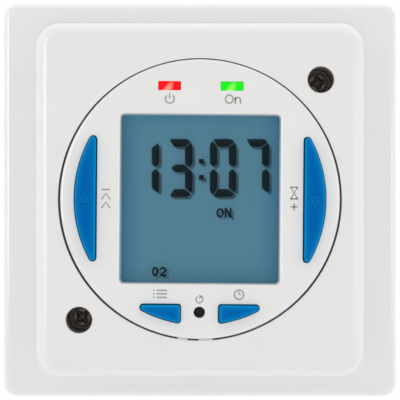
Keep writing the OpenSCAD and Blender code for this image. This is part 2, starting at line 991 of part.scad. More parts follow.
module control_board() {
    color("darkgreen") stand()
        difference() {
            post_at([0, 0], control_board_r, board_z, board_top_z);
            for (s = side_signs, xy = concat(side_pin_xys, lower_pin_xys))
                post_at([s * xy[0], xy[1]], guide_pin_r + pin_fit, board_z - 1, board_top_z + 1);
            for (xy = fascia_boss_xys)
                post_at(xy, board_screw_d / 2 + slip_fit, board_z - 1, board_top_z + 1);
            for (xy = led_xys, s = side_signs)
                post_at(xy + [s * led_leg_pitch / 2, 0], led_leg, board_z - 1, board_top_z + 1);
        }
}

module microcontroller() {
    color([0.1, 0.1, 0.11]) stand() {
        box_at(chip_xy, [chip_side, chip_side], board_z - chip_t, board_z);
        for (s = side_signs, k = [0 : chip_leads - 1])
            box_at(
                chip_xy + [s * (chip_side + chip_lead[0]) / 2, (k - (chip_leads - 1) / 2) * chip_lead_pitch],
                [chip_lead[0] + eps, chip_lead[1]], board_z - chip_lead[2], board_z);
    }
}

module battery_cell() {
    color("silver") stand()
        post_at(cell_xy, cell_d / 2, board_z - cell_t, board_z);
}

// Sprung strap that holds the cell against the board.
module battery_clip() {
    span = cell_d + 2 * slip_fit;
    color("lightgray") stand() {
        box_at(cell_xy, [span + 2 * clip_t, clip_w], board_z - cell_t - clip_t, board_z - cell_t);
        for (s = side_signs)
            box_at(cell_xy + [s * (span + clip_t) / 2, 0], [clip_t, clip_w],
                board_z - cell_t - clip_t, board_z);
    }
}

// Pins and socket that join the mains board to the removable module

function header_xy(k) = header_centre + [(k - (header_ways - 1) / 2) * header_pitch, 0];

module header_socket() {
    color("black") stand()
        difference() {
            box_at(header_centre, [socket_size[0], socket_size[1]], board_z - socket_size[2], board_z);
            for (k = [0 : header_ways - 1])
                box_at(header_xy(k), [header_hole, header_hole],
                    board_z - socket_size[2] - 1, board_z - socket_roof);
        }
}

module header_pins() {
    color("gold") stand() {
        box_at(header_centre, [header_w, header_pitch], -mains_gap, -mains_gap + header_base_h);
        for (k = [0 : header_ways - 1])
            box_at(header_xy(k), [header_pin, header_pin],
                mains_z - header_tail, board_z - socket_roof - slip_fit);
    }
}

// Screws

module board_screws() {
    color("silver") stand()
        for (xy = fascia_boss_xys)
            plain_screw(xy, board_z, board_head, board_screw_d, disc_in_z - board_z - 1, -1);
}

module cover_screws() {
    color("silver") stand()
        for (xy = four(cover_boss_xy))
            plain_screw(xy, floor_t, small_head, small_screw_d,
                cover_in_z - floor_t - cover_boss_roof - 1, -1);
}

module housing_screws() {
    color("silver") stand()
        for (xy = four(housing_post_xy))
            plain_screw(xy, floor_t, small_head, small_screw_d, floor_t + housing_post_h - 2, 1);
}

// The two black cross-head screws that show in the face.
module module_screws() {
    color([0.13, 0.11, 0.1]) stand()
        for (i = [0, 1])
            difference() {
                plain_screw(module_xy(i), chassis_floor_z, [module_head_d, module_head_h], module_screw_d,
                    chassis_floor_z + module_screw_tail, 1);
                translate(concat(module_xy(i), chassis_floor_z + module_head_h - cross_depth))
                    for (turn = [0, 90])
                        rotate(module_screw_turns[i] + turn)
                            box_at([0, 0], [cross_span, cross_w], 0, cross_depth + 1);
            }
}

// Rear housing and mains board

// Room round the two insert bosses of the wall plate, grown by a clearance.
module insert_bosses(clearance) {
    for (i = [0, 1])
        post_at(module_xy(i), boss_r + clearance, -housing_depth - 1, 2);
}

module rear_housing() {
    inner_w = housing_w - 2 * housing_wall;
    inner_h = housing_h - 2 * housing_wall;
    inner_r = housing_corner_r - housing_wall;
    color([0.16, 0.16, 0.17]) stand()
        difference() {
            union() {
                difference() {
                    block(housing_w, housing_h, housing_corner_r, -housing_depth, 0);
                    difference() {
                        block(inner_w, inner_h, inner_r, housing_wall - housing_depth, 1);
                        insert_bosses(loose_fit + housing_wall);
                    }
                }
                intersection() {
                    block(housing_w - housing_wall, housing_h - housing_wall,
                        housing_corner_r - housing_wall / 2, -housing_depth + eps, 0);
                    union() {
                        for (xy = four(housing_post_xy))
                            post_at(xy, housing_post_r, -housing_post_h, 0);
                        for (s = side_signs, y = peg_ys)
                            box_at([s * (inner_w / 2 + (housing_wall - ledge_depth) / 2), y],
                                [ledge_depth + housing_wall, ledge_w], -housing_depth, mains_z);
                    }
                }
            }
            insert_bosses(loose_fit);
            for (xy = four(housing_post_xy))
                post_at(xy, small_screw_d / 2 + thread_fit, -housing_post_h + 1, 1);
            translate([-block_w / 2 - block_window_gap, -housing_h / 2 - 1, -housing_depth - 1])
                cube([
                    block_w + 2 * block_window_gap,
                    block_y + block_d / 2 + block_window_gap + housing_h / 2 + 1,
                    housing_depth + 1 + mains_z - loose_fit,
                ]);
        }
}

// Draws from the mains board's rear face, with depth counted away from the board.
module on_mains_board(xy) {
    translate([xy[0], xy[1], mains_z])
        mirror([0, 0, 1])
            children();
}

function pole_xy(i) = [(i - (pole_count - 1) / 2) * pole_pitch, block_y];

module mains_board() {
    color("darkgreen") stand()
        difference() {
            block(mains_w, mains_h, 0.5, mains_z, -mains_gap);
            for (xy = four(housing_post_xy))
                post_at(xy, housing_post_r + loose_fit, mains_z - 1, 0);
            for (k = [0 : header_ways - 1])
                post_at(header_xy(k), header_hole / 2, mains_z - 1, 0);
            for (i = [0 : pole_count - 1])
                post_at(pole_xy(i) + [0, contact_tail_y + contact_tail_t / 2], contact_pin_hole_r,
                    mains_z - 1, 0);
            for (s = side_signs) {
                post_at(relay_xy + [0, s * coil_pin_y], lead_hole_r, mains_z - 1, 0);
                post_at(relay_xy + [blade_x + blade_t / 2, s * blade_y], lead_hole_r, mains_z - 1, 0);
                post_at(film_cap_xy + [s * film_cap_pitch / 2, 0], lead_hole_r, mains_z - 1, 0);
                post_at(round_cap_xy + [s * round_cap_pitch / 2, 0], lead_hole_r, mains_z - 1, 0);
            }
        }
}

// Terminals: each screw turns in its seat, and draws a wire clamp cage up against a fixed contact

module terminal_block() {
    color("darkslategray") stand()
        on_mains_board([0, 0])
            difference() {
                box_at([0, block_y], [block_w, block_d], 0, block_h);
                for (i = [0 : pole_count - 1]) {
                    box_at(pole_xy(i), [cavity_w, cavity_d], cavity_low, cavity_high);
                    post_at(pole_xy(i), terminal_screw_d / 2 + slip_fit, cavity_high - 1, seat_high + 1);
                    post_at(pole_xy(i), terminal_head[0] / 2 + slip_fit, seat_high, block_h + 1);
                    box_at(pole_xy(i) - [0, block_d / 2], [wire_entry, block_d - cavity_d + 2],
                        cage_low + cage_wall, contact_low);
                    box_at(pole_xy(i) + [0, contact_tail_y + contact_tail_t / 2],
                        [contact_w + 2 * pin_fit, contact_tail_t + 2 * pin_fit], -1, cavity_low + 1);
                }
            }
}

module terminal_screw(i) {
    on_mains_board(pole_xy(i))
        difference() {
            union() {
                post_at([0, 0], terminal_screw_d / 2, contact_low + contact_t, seat_high);
                post_at([0, 0], terminal_head[0] / 2, seat_high, seat_high + terminal_head[1]);
            }
            box_at([0, 0], [terminal_head[0] + 1, terminal_slot[0]],
                seat_high + terminal_head[1] - terminal_slot[1], block_h + 1);
        }
}

module terminal_screw_1() {
    color("silver") stand()
        terminal_screw(0);
}

module terminal_screw_2() {
    color("silver") stand()
        terminal_screw(1);
}

module terminal_screw_3() {
    color("silver") stand()
        terminal_screw(2);
}

module terminal_screw_4() {
    color("silver") stand()
        terminal_screw(3);
}

module clamp_cage(i) {
    on_mains_board(pole_xy(i))
        difference() {
            box_at([0, 0], [cage_w, cage_d], cage_low, cage_high);
            box_at([0, 0], [cage_w - 2 * cage_side_wall, cage_d + 2],
                cage_low + cage_wall, cage_high - cage_wall);
            post_at([0, 0], terminal_screw_d / 2 + thread_fit, cage_high - cage_wall - 1, cage_high + 1);
        }
}

module clamp_cage_1() {
    color("lightsteelblue") stand()
        clamp_cage(0);
}

module clamp_cage_2() {
    color("lightsteelblue") stand()
        clamp_cage(1);
}

module clamp_cage_3() {
    color("lightsteelblue") stand()
        clamp_cage(2);
}

module clamp_cage_4() {
    color("lightsteelblue") stand()
        clamp_cage(3);
}

module terminal_contacts() {
    color("goldenrod") stand()
        for (i = [0 : pole_count - 1])
            on_mains_board(pole_xy(i)) {
                translate([-contact_w / 2, -cage_d / 2 + 0.4, contact_low])
                    cube([contact_w, cage_d / 2 - 0.4 + contact_tail_y + contact_tail_t, contact_t]);
                translate([-contact_w / 2, contact_tail_y, 0])
                    cube([contact_w, contact_tail_t, contact_low + eps]);
                translate([-contact_pin_w / 2, contact_tail_y, -board_t - lead_tail])
                    cube([contact_pin_w, contact_tail_t, board_t + lead_tail + eps]);
            }
}

// Relay: a hinged armature above a coil, with a sprung arm that moves between two fixed contacts

module relay_base() {
    color("black") stand()
        on_mains_board(relay_xy)
            difference() {
                box_at([0, 0], relay_inside - 2 * pin_fit * [1, 1], 0, relay_base_t);
                for (s = side_signs) {
                    post_at([0, s * coil_pin_y], lead_hole_r, -1, relay_base_t + 1);
                    translate([blade_x - pin_fit, s * blade_y - blade_w / 2 - pin_fit, -1])
                        cube([relay_inside[0], blade_w + 2 * pin_fit, relay_base_t + 2]);
                }
            }
}

module relay_case() {
    color("royalblue") stand()
        on_mains_board(relay_xy)
            difference() {
                box_at([0, 0], [relay_size[0], relay_size[1]], 0, relay_size[2]);
                box_at([0, 0], relay_inside, -1, relay_size[2] - relay_wall);
            }
}

// Axle bead and groove run along Y, on the hinge line.
module hinge_rod(r, length) {
    translate([hinge_x, 0, hinge_depth])
        rotate([90, 0, 0])
            cylinder(r = r, h = length, center = true);
}

module relay_yoke() {
    color("lightslategray") stand()
        on_mains_board(relay_xy) {
            translate([yoke_x, -yoke_w / 2, relay_base_t])
                cube([yoke_foot_x - yoke_x, yoke_w, yoke_t]);
            translate([yoke_x, -yoke_w / 2, relay_base_t])
                cube([yoke_t, yoke_w, yoke_top - relay_base_t]);
            hinge_rod(hinge_r, yoke_w);
            post_at([0, 0], core_r, coil_low - eps, core_top);
            post_at([0, 0], pole_r, core_top - pole_t, core_top);
        }
}

module relay_bobbin() {
    color("ivory") stand()
        on_mains_board(relay_xy) {
            difference() {
                union() {
                    post_at([0, 0], bobbin_tube_r, coil_low, coil_high);
                    for (low = [coil_low, coil_high - bobbin_flange_t])
                        box_at([0, 0], bobbin_flange, low, low + bobbin_flange_t);
                }
                post_at([0, 0], core_r + pin_fit, coil_low - 1, coil_high + 1);
            }
            for (s = side_signs)
                box_at([0, s * coil_pin_y], [coil_pin, coil_pin], -board_t - lead_tail, coil_low + eps);
        }
}

module relay_winding() {
    color("chocolate") stand()
        on_mains_board(relay_xy)
            difference() {
                post_at([0, 0], coil_r, coil_low + bobbin_flange_t, coil_high - bobbin_flange_t);
                post_at([0, 0], bobbin_tube_r + insert_fit, coil_low, coil_high);
            }
}

module relay_armature() {
    color("lightslategray") stand()
        on_mains_board(relay_xy) {
            difference() {
                translate([armature_x[0], -yoke_w / 2, armature_low])
                    cube([armature_x[1] - armature_x[0], yoke_w, armature_t]);
                hinge_rod(hinge_r + thread_fit, yoke_w + 2);
            }
            translate([arm_x[0], -arm_w / 2, arm_low - eps])
                cube([arm_x[1] - arm_x[0], arm_w, arm_t + eps]);
            post_at([contact_x, 0], contact_r, arm_low - contact_drop, arm_low + 2 * arm_t);
        }
}

// One fixed contact: a blade up from the board, a foot across to the moving contact, and a contact button.
module fixed_contact(side, foot_low, button_low, button_high) {
    translate([blade_x, side * blade_y - blade_w / 2, 0])
        cube([blade_t, blade_w, foot_low + blade_t]);
    box_at([blade_x + blade_t / 2, side * blade_y], [blade_t, coil_pin], -board_t - lead_tail, eps);
    translate([blade_foot_x, side > 0 ? -blade_foot_y : -blade_y - blade_w / 2, foot_low])
        cube([blade_x + blade_t - blade_foot_x, blade_foot_y + blade_y + blade_w / 2, blade_t]);
    post_at([contact_x, 0], button_r, button_low, button_high);
}

module relay_contacts() {
    closed_foot = closed_contact_low + blade_t;
    color("goldenrod") stand()
        on_mains_board(relay_xy) {
            fixed_contact(1, closed_foot, closed_contact_low, closed_foot + eps);
            fixed_contact(-1, open_contact_low, open_contact_low,
                open_contact_low + blade_t + open_contact_rise);
        }
}

// Capacitors

module film_capacitor() {
    color("gold") stand()
        on_mains_board(film_cap_xy) {
            box_at([0, 0], [film_cap_size[0], film_cap_size[1]], 0, film_cap_size[2]);
            for (s = side_signs)
                post_at([s * film_cap_pitch / 2, 0], lead_r, -board_t - lead_tail, eps);
        }
}

module smoothing_capacitor() {
    color("midnightblue") stand()
        on_mains_board(round_cap_xy) {
            difference() {
                post_at([0, 0], round_cap_r, 0, round_cap_h);
                translate([0, 0, round_cap_groove[1]])
                    rotate_extrude()
                        translate([round_cap_r - round_cap_groove[0], 0])
                            square(round_cap_groove);
            }
            for (s = side_signs)
                post_at([s * round_cap_pitch / 2, 0], lead_r, -board_t - lead_tail, eps);
        }
}

back_plate();
front_cover();
fascia_disc();
chassis();
advance_button();
boost_button();
program_button();
clock_button();
reset_pin();
advance_plunger();
boost_plunger();
program_plunger();
clock_plunger();
reset_plunger();
advance_dome();
boost_dome();
program_dome();
clock_dome();
reset_dome();
switch_bodies();
power_led();
on_led();
lcd_gasket();
lcd_front_glass();
lcd_rear_glass();
lcd_backlight();
lcd_frame();
zebra_strips();
control_board();
microcontroller();
battery_cell();
battery_clip();
header_socket();
header_pins();
board_screws();
cover_screws();
module_screws();
threaded_inserts();
rear_housing();
housing_screws();
mains_board();
terminal_block();
terminal_contacts();
terminal_screw_1();
terminal_screw_2();
terminal_screw_3();
terminal_screw_4();
clamp_cage_1();
clamp_cage_2();
clamp_cage_3();
clamp_cage_4();
relay_base();
relay_case();
relay_yoke();
relay_bobbin();
relay_winding();
relay_armature();
relay_contacts();
film_capacitor();
smoothing_capacitor();
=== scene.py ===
"""Looks of a wall-mounted timer light switch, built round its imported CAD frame.

Sizes are millimetres on the switch's face: x to the right, y up and z out of the wall.
"""
import json
import math

import bpy
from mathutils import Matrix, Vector
from mathutils.geometry import delaunay_2d_cdt


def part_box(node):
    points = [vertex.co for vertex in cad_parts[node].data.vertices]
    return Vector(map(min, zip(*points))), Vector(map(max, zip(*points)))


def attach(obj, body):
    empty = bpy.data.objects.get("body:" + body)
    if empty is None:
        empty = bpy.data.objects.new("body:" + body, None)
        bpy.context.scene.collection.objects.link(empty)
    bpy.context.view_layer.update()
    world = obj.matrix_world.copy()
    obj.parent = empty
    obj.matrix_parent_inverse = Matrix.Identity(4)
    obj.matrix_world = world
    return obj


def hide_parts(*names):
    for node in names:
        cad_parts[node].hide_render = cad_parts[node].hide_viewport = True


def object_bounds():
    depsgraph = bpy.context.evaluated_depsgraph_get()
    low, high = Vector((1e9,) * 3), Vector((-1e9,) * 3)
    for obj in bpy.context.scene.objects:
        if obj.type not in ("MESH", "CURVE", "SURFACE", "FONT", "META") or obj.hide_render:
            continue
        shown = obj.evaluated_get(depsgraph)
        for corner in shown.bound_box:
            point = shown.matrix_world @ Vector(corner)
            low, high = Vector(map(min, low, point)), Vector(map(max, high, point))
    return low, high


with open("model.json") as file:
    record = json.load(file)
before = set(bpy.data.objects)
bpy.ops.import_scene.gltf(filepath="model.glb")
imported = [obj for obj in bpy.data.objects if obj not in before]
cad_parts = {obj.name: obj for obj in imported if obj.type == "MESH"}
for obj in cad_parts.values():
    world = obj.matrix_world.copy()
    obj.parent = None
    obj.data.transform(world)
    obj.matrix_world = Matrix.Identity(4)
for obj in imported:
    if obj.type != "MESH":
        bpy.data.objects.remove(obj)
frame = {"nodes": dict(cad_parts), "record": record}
cad_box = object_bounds()
MM = 0.001


# Levels and sizes taken from the frame

def front(node):
    """How far a node reaches out of the wall."""
    return -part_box(node)[0].y / MM


def wide(node):
    low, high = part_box(node)
    return (high.x - low.x) / MM


def tall(node):
    low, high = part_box(node)
    return (high.z - low.z) / MM


PLATE_Z = front("back_plate")
COVER_Z = front("front_cover")
DISC_Z = front("fascia_disc")
REAR_GLASS_Z = front("lcd_rear_glass")
BACKLIGHT_Z = front("lcd_backlight")

# Front cover
COVER_W = wide("front_cover")
COVER_H = tall("front_cover")
COVER_LIFT = 0.1
COVER_CORNER_R = 5.3
COVER_EDGE_R = 3
COVER_EDGE_STEPS = 14
COVER_WALL = 1.8
COVER_TOP_T = 2
COVER_SEAM = 0.22
OPENING_R = 30.31
OPENING_STRETCH = 0.15
OPENING_SIDE_ANGLE = 65
OPENING_XY = (-0.02, 0.12)
HOLE_EDGE_R = 0.1
MOUTH_STEPS = 5
SCREWS = ((25.92, 25.8), (-25.96, -25.74))
SCREW_HOLE_R = 2.87
RIB_SPANS = ((-9.2, -5.1), (-0.6, 5.1))
RIB_GAP = 0.06
RIB_LAP = 0.15
RIB_DROP = 0.3
RIB_STEPS = 6
# Dark ring at the bottom of the gap round the disc: painted shade
SHADE_RING_DROP = 0.5
SHADE_RING_T = 0.3
SHADE_RING_LAP = 0.1
SHADE_RING_GAP = 0.01

# Fascia disc: it sits a hair high in the cover and turned by less than half a degree
FACE_Y = 0.19
FACE_TURN = -0.45
DISC_R = 30.02
DISC_EDGE_R = 0.65
DISC_T = 1.8
SKIRT_T = 1.6
SKIRT_DROP = 3.6
WINDOW_W = 34.36
WINDOW_H = 36.42
WINDOW_CORNER_R = 0.9
WINDOW_EDGE_R = 0.5
WINDOW_DRAFT = 0.15
RESET_XY = (0.05, -24.25)
RESET_HOLE_R = 1.22

# Buttons
BUTTON_ARC_R = 27.06
SIDE_CHORD_X = 22.08
SIDE_TIP_R = 0.86
LOWER_TOP_Y = -22.45
LOWER_INNER_X = 3.95
LOWER_CORNER_R = 0.66
LOWER_TIP_R = 0.84
LOWER_SHIFT = 0.08
BUTTON_GAP = 0.27
BUTTON_SHIFTS = {"boost_button": 0.04, "program_button": 0.06, "clock_button": 0.06}
BUTTON_EDGE_R = 0.22
BUTTON_EDGE_STEPS = 6
BUTTON_CROWN = 0.28
CROWN_REACH = 1.9
CROWN_STEP = 0.42
CROWN_MARGIN = 0.6 * CROWN_STEP
CROWN_PROBE = 0.02
CROWN_EDGE_STEP = 0.25
BUTTON_PROUD = 1.2
BUTTON_FLANGE = 0.7
BUTTON_FLANGE_T = 1
FLANGE_GAP = 0.05
BUTTON_HOLE_R = 0.07
# Dark sleeves in the buttons' slots: painted shade in the gaps round the keys
SHADE_SLEEVE_T = 0.1
SHADE_SLEEVE_DROP = 0.05
SHADE_SLEEVE_LAP = 0.1
ARROW_W = 3
ARROW_H = 2.75
ARROW_RISE = 0.1
ARROW_TOP_SHARE = 0.94
# Distances from a key's edge given to the arrow, which set its painted highlight: palest along its
# edges
ARROW_RIM_DEPTH = 0.35
ARROW_MIDDLE_DEPTH = 1.35
ARROW_X = 24.55
ARROW_YS = {"advance_button": 0.3, "boost_button": -0.6}

# Indicator lights
LED_W = 4.8
LED_H = 1.86
LED_CORNER_R = 0.2
LED_EDGE_R = 0.18
LED_EDGE_STEPS = 4
LED_GAP = 0.06
LED_X = 6.7
LED_Y = 24.25

# Face screws
HEAD_R = 2.15
HEAD_SEAT_Z = 4
HEAD_TOP_Z = 7.3
HEAD_EDGE_R = 0.34
SHANK_R = 1.45
CROSS_SPAN = 1.55
CROSS_HALF_W = 0.44
CROSS_LIP = 0.14
CROSS_DEPTH = 0.5
CROSS_TIP_DEPTH = 2.2
CROSS_WALL_TILT = 10
CROSS_FLOOR_TILT = 40
CROSS_TAPER = 0.1
CROSS_TIP_R = 0.25
CROSS_INNER_R = 0.78
SCREW_TURNS = (12, 41)
WELL_R = 2.74
WELL_T = 0.1
WELL_DROP = 0.12
COLLAR_GAP = 0.05
COLLAR_DROP = 0.42

# Tilts of a surface: out of the wall, towards it, away from an outline, into it and halfway up
OUTWARDS = 90
WALLWARDS = -90
SIDEWAYS = 0
INWARDS = 180
CHAMFERED = 45


def at(x, y, z):
    """A point of the face in the frame, in metres."""
    return Vector((x, -z, y)) * MM


def turned(x, y, angle, u, v):
    """The point (u, v), turned by an angle and set off from (x, y)."""
    c, s = math.cos(math.radians(angle)), math.sin(math.radians(angle))
    return x + u * c - v * s, y + u * s + v * c


def on_fascia(x, y, z=0.0):
    """Where a point of the fascia's own drawing lies on the switch."""
    return *turned(0, FACE_Y, FACE_TURN, x, y), z


# Outlines: arcs (centre x, centre y, radius, first angle, last angle) joined by straight lines

ARC_STEP = 6
BIG_ARC_STEP = 1.5
BIG_ARC_R = 10


def outline(arcs, grow=0.0):
    """Points and outward normals along an outline that is grown by an offset."""
    points = []
    for x, y, r, first, last in arcs:
        step = BIG_ARC_STEP if abs(r) > BIG_ARC_R else ARC_STEP
        count = max(2, math.ceil(abs(last - first) / step))
        whole = abs(last - first) == 360
        for k in range(count + (0 if whole else 1)):
            a = math.radians(first + (last - first) * k / count)
            nx, ny = math.cos(a), math.sin(a)
            points.append((x + (r + grow) * nx, y + (r + grow) * ny, nx, ny))
    return points


def circle(x, y, r):
    return [(x, y, r, 0, 360)]


def rounded_rect(x, y, w, h, r):
    dx, dy = w / 2 - r, h / 2 - r
    return [
        (x + dx, y + dy, r, 0, 90),
        (x - dx, y + dy, r, 90, 180),
        (x - dx, y - dy, r, 180, 270),
        (x + dx, y - dy, r, 270, 360),
    ]


def side_button_outline():
    """Crescent between the button circle and a chord, with rounded tips, at the right."""
    tip_x = SIDE_CHORD_X + SIDE_TIP_R
    tip_y = math.sqrt((BUTTON_ARC_R - SIDE_TIP_R) ** 2 - tip_x**2)
    turn = math.degrees(math.atan2(tip_y, tip_x))
    return [
        (0, 0, BUTTON_ARC_R, -turn, turn),
        (tip_x, tip_y, SIDE_TIP_R, turn, 180),
        (tip_x, -tip_y, SIDE_TIP_R, 180, 360 - turn),
    ]


def lower_button_outline():
    """Wedge between a level top, an upright inner edge and the button circle, at the right."""
    r, tip_r = LOWER_CORNER_R, LOWER_TIP_R
    tip_y = LOWER_TOP_Y - tip_r
    tip_x = math.sqrt((BUTTON_ARC_R - tip_r) ** 2 - tip_y**2)
    inner_x = LOWER_INNER_X + r
    low_y = -math.sqrt((BUTTON_ARC_R - r) ** 2 - inner_x**2)
    low_turn = math.degrees(math.atan2(low_y, inner_x)) + 360
    tip_turn = math.degrees(math.atan2(tip_y, tip_x)) + 360
    return [
        (inner_x, LOWER_TOP_Y - r, r, 90, 180),
        (inner_x, low_y, r, 180, low_turn),
        (0, 0, BUTTON_ARC_R, low_turn, tip_turn),
        (tip_x, tip_y, tip_r, tip_turn, 450),
    ]


def mirrored(arcs):
    """The same outline on the other side of x = 0."""
    return [(-x, y, r, 180 - last, 180 - first) for x, y, r, first, last in reversed(arcs)]


def moved(arcs, dx):
    return [(x + dx, y, r, first, last) for x, y, r, first, last in arcs]


def cross_outline(x, y, turn):
    """Four-armed recess with rounded arm tips and rounded inner corners."""
    arcs = []
    tip = CROSS_SPAN - CROSS_TIP_R
    side = CROSS_HALF_W - CROSS_TIP_R
    inner = CROSS_HALF_W + CROSS_INNER_R
    for quarter in range(4):
        a = turn + 90 * quarter
        arcs.append((*turned(x, y, a, tip, -side), CROSS_TIP_R, a - 90, a))
        arcs.append((*turned(x, y, a, tip, side), CROSS_TIP_R, a, a + 90))
        arcs.append((*turned(x, y, a, inner, inner), -CROSS_INNER_R, a + 90, a))
    return arcs


def inside(x, y, loop):
    """Whether a point lies inside a closed loop of points."""
    hit = False
    for (ax, ay), (bx, by) in zip(loop, loop[1:] + loop[:1]):
        if (ay > y) != (by > y) and x < (bx - ax) * (y - ay) / (by - ay) + ax:
            hit = not hit
    return hit


FILL_INSIDE = 1
FILL_TOLERANCE = 1e-7


class Shell:
    """Points, normals and faces of one piece, gathered in face millimetres."""

    def __init__(self, fascia=False):
        self.points = []
        self.normals = []
        self.faces = []
        # Distances from an edge, kept per point, that set a painted highlight in the key plastic
        self.edge_highlight_depths = {}
        self.fascia = fascia

    def point(self, x, y, z, normal):
        self.points.append((x, y, z))
        self.normals.append(normal)
        return len(self.points) - 1

    def ring(self, arcs, inset, z, tilt, side=1):
        """One loop round a solid (side 1) or round a hole in it (side -1), with tilted normals."""
        c, s = math.cos(math.radians(tilt)), math.sin(math.radians(tilt))
        return [
            self.point(x, y, z, (side * nx * c, side * ny * c, s))
            for x, y, nx, ny in outline(arcs, -side * inset)
        ]

    def face(self, corners):
        """A face whose front is turned to its corners' normals."""
        a, b, c = (Vector(self.points[i]) for i in (corners[0], corners[1], corners[-1]))
        facing = (b - a).cross(c - a)
        mean = sum((Vector(self.normals[i]) for i in corners), Vector())
        self.faces.append(list(corners) if facing.dot(mean) >= 0 else list(reversed(corners)))

    def strip(self, low, high):
        count = len(low)
        for k in range(count):
            self.face((low[k], low[(k + 1) % count], high[(k + 1) % count], high[k]))

    def loft(self, arcs, profile, side=1):
        """A wall through several rings; returns the last ring."""
        rings = [self.ring(arcs, *step, side) for step in profile]
        for low, high in zip(rings, rings[1:]):
            self.strip(low, high)
        return rings[-1]

    def fill(self, loops, extra=()):
        """Triangles inside the first loop and outside the others, with extra points inside."""
        order = [i for loop in loops for i in loop] + list(extra)
        flat = [Vector(self.points[i][:2]) for i in order]
        edges, start = [], 0
        for loop in loops:
            count = len(loop)
            edges += [(start + k, start + (k + 1) % count) for k in range(count)]
            start += count
        filled = delaunay_2d_cdt(flat, edges, [], FILL_INSIDE, FILL_TOLERANCE)
        triangles, origin = filled[2:4]
        index = [order[source[0]] for source in origin]
        holes = [[self.points[i][:2] for i in loop] for loop in loops[1:]]
        for triangle in triangles:
            corners = [index[i] for i in triangle]
            x = sum(self.points[i][0] for i in corners) / 3
            y = sum(self.points[i][1] for i in corners) / 3
            if not any(inside(x, y, hole) for hole in holes):
                self.face(corners)

    def build(self, name, finish, slot, body="switch_body", replaced=()):
        """Makes the object, with its own normals, parents it to its body's empty and hides the nodes it
        replaces.
        """
        mesh = bpy.data.meshes.new(name)
        points = [on_fascia(*p) for p in self.points] if self.fascia else self.points
        mesh.from_pydata([at(*p) for p in points], [], self.faces)
        mesh.polygons.foreach_set("use_smooth", [True] * len(mesh.polygons))
        normals = [Vector((x, -z, y)).normalized() for x, y, z in self.normals]
        mesh.normals_split_custom_set_from_vertices(normals)
        mesh.materials.append(finish)
        # The distances go to the mesh as its depth attribute, for the painted highlight
        if self.edge_highlight_depths:
            layer = mesh.attributes.new("depth", "FLOAT", "POINT")
            edge_highlight_depths = [self.edge_highlight_depths.get(i, 0.0) for i in range(len(self.points))]
            layer.data.foreach_set("value", edge_highlight_depths)
        piece = bpy.data.objects.new(name, mesh)
        bpy.context.scene.collection.objects.link(piece)
        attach(piece, body)
        if replaced:
            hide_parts(*replaced)
        return piece


def rounded_top(base, top, r, last=OUTWARDS, steps=8):
    """Profile of an upright wall from base that ends in a rounded edge below top."""
    profile = [(0, base, SIDEWAYS)]
    for k in range(steps + 1):
        a = last * k / steps
        turn = math.radians(a)
        profile.append((r * (1 - math.cos(turn)), top - r + r * math.sin(turn), a))
    return profile


def down(z):
    """Profile step that faces the wall."""
    return (0, z, WALLWARDS)


def upright(inset, low, high, tilt):
    """Profile of an upright wall."""
    return [(inset, low, tilt), (inset, high, tilt)]


def ledge(first, last, z, tilt):
    """Profile of a level ledge between two insets."""
    return [(first, z, tilt), (last, z, tilt)]


# Materials

class Tree:
    """Short calls for the nodes that the materials and the studio's world share."""

    def __init__(self, owner):
        owner.use_nodes = True
        self.nodes = owner.node_tree.nodes
        self.links = owner.node_tree.links

    def feed(self, socket, value):
        """Joins another node's output to a socket, or sets a constant on it."""
        if isinstance(value, bpy.types.NodeSocket):
            self.links.new(value, socket)
        else:
            socket.default_value = value

    def add(self, kind, inputs):
        """A node with its inputs, given by their names or their places."""
        node = self.nodes.new("ShaderNode" + kind)
        for name, value in inputs.items():
            self.feed(node.inputs[name], value)
        return node

    def math(self, operation, *values):
        node = self.add("Math", {})
        node.operation = operation
        for socket, value in zip(node.inputs, values):
            self.feed(socket, value)
        return node.outputs["Value"]

    def place(self):
        """Each point's place in the frame."""
        return self.add("TexCoord", {}).outputs["Object"]

    def axes(self, vector):
        """A vector's parts, by their letters."""
        return self.add("SeparateXYZ", {"Vector": vector}).outputs

    def noise(self, scale, detail=2.0):
        texture = self.add("TexNoise", {"Vector": self.place(), "Scale": scale, "Detail": detail})
        return texture.outputs["Fac"]

    def ramp(self, source, stops):
        """Colours picked along a value."""
        node = self.add("ValToRGB", {"Fac": source})
        elements = node.color_ramp.elements
        while len(elements) < len(stops):
            elements.new(0.5)
        for element, (place, colour) in zip(elements, stops):
            element.position = place
            element.color = (*colour, 1)
        return node.outputs["Color"]

    def remap(self, source, to_low, to_high, low=0.0, high=1.0, smooth=False):
        """A value's range from low to high laid onto another range."""
        node = self.add("MapRange", {"Value": source, "From Min": low, "From Max": high,
                                     "To Min": to_low, "To Max": to_high})
        if smooth:
            node.interpolation_type = "SMOOTHSTEP"
        return node.outputs["Result"]

    def bump(self, source, strength, distance):
        node = self.add("Bump", {"Height": source, "Strength": strength, "Distance": distance})
        return node.outputs["Normal"]

    def mix(self, share, first, second):
        """One shader laid over another."""
        return self.add("MixShader", {0: share, 1: first, 2: second}).outputs["Shader"]

    def seen_directly(self):
        """1 for rays from the camera, in a reflection or through glass, which see plain white."""
        rays = self.add("LightPath", {}).outputs
        passed_on = self.math("MAXIMUM", rays["Is Glossy Ray"], rays["Is Transmission Ray"])
        return self.math("MAXIMUM", rays["Is Camera Ray"], passed_on)


class Finish(Tree):
    """A material's nodes, round its main shader."""

    def __init__(self, material):
        super().__init__(material)
        self.material = material
        self.shader = self.nodes["Principled BSDF"]

    def look(self, inputs):
        """Sets or feeds the main shader's inputs."""
        for name, value in inputs.items():
            self.feed(self.shader.inputs[name], value)

    def surface(self, shader):
        """Shows another shader than the main one."""
        self.feed(self.nodes["Material Output"].inputs["Surface"], shader)


def new_finish(name):
    return Finish(bpy.data.materials.new(name))


def shade(colour, factor):
    return tuple(min(1.0, c * factor) for c in colour)


CLOUD_LOW = 0.3
CLOUD_HIGH = 0.7


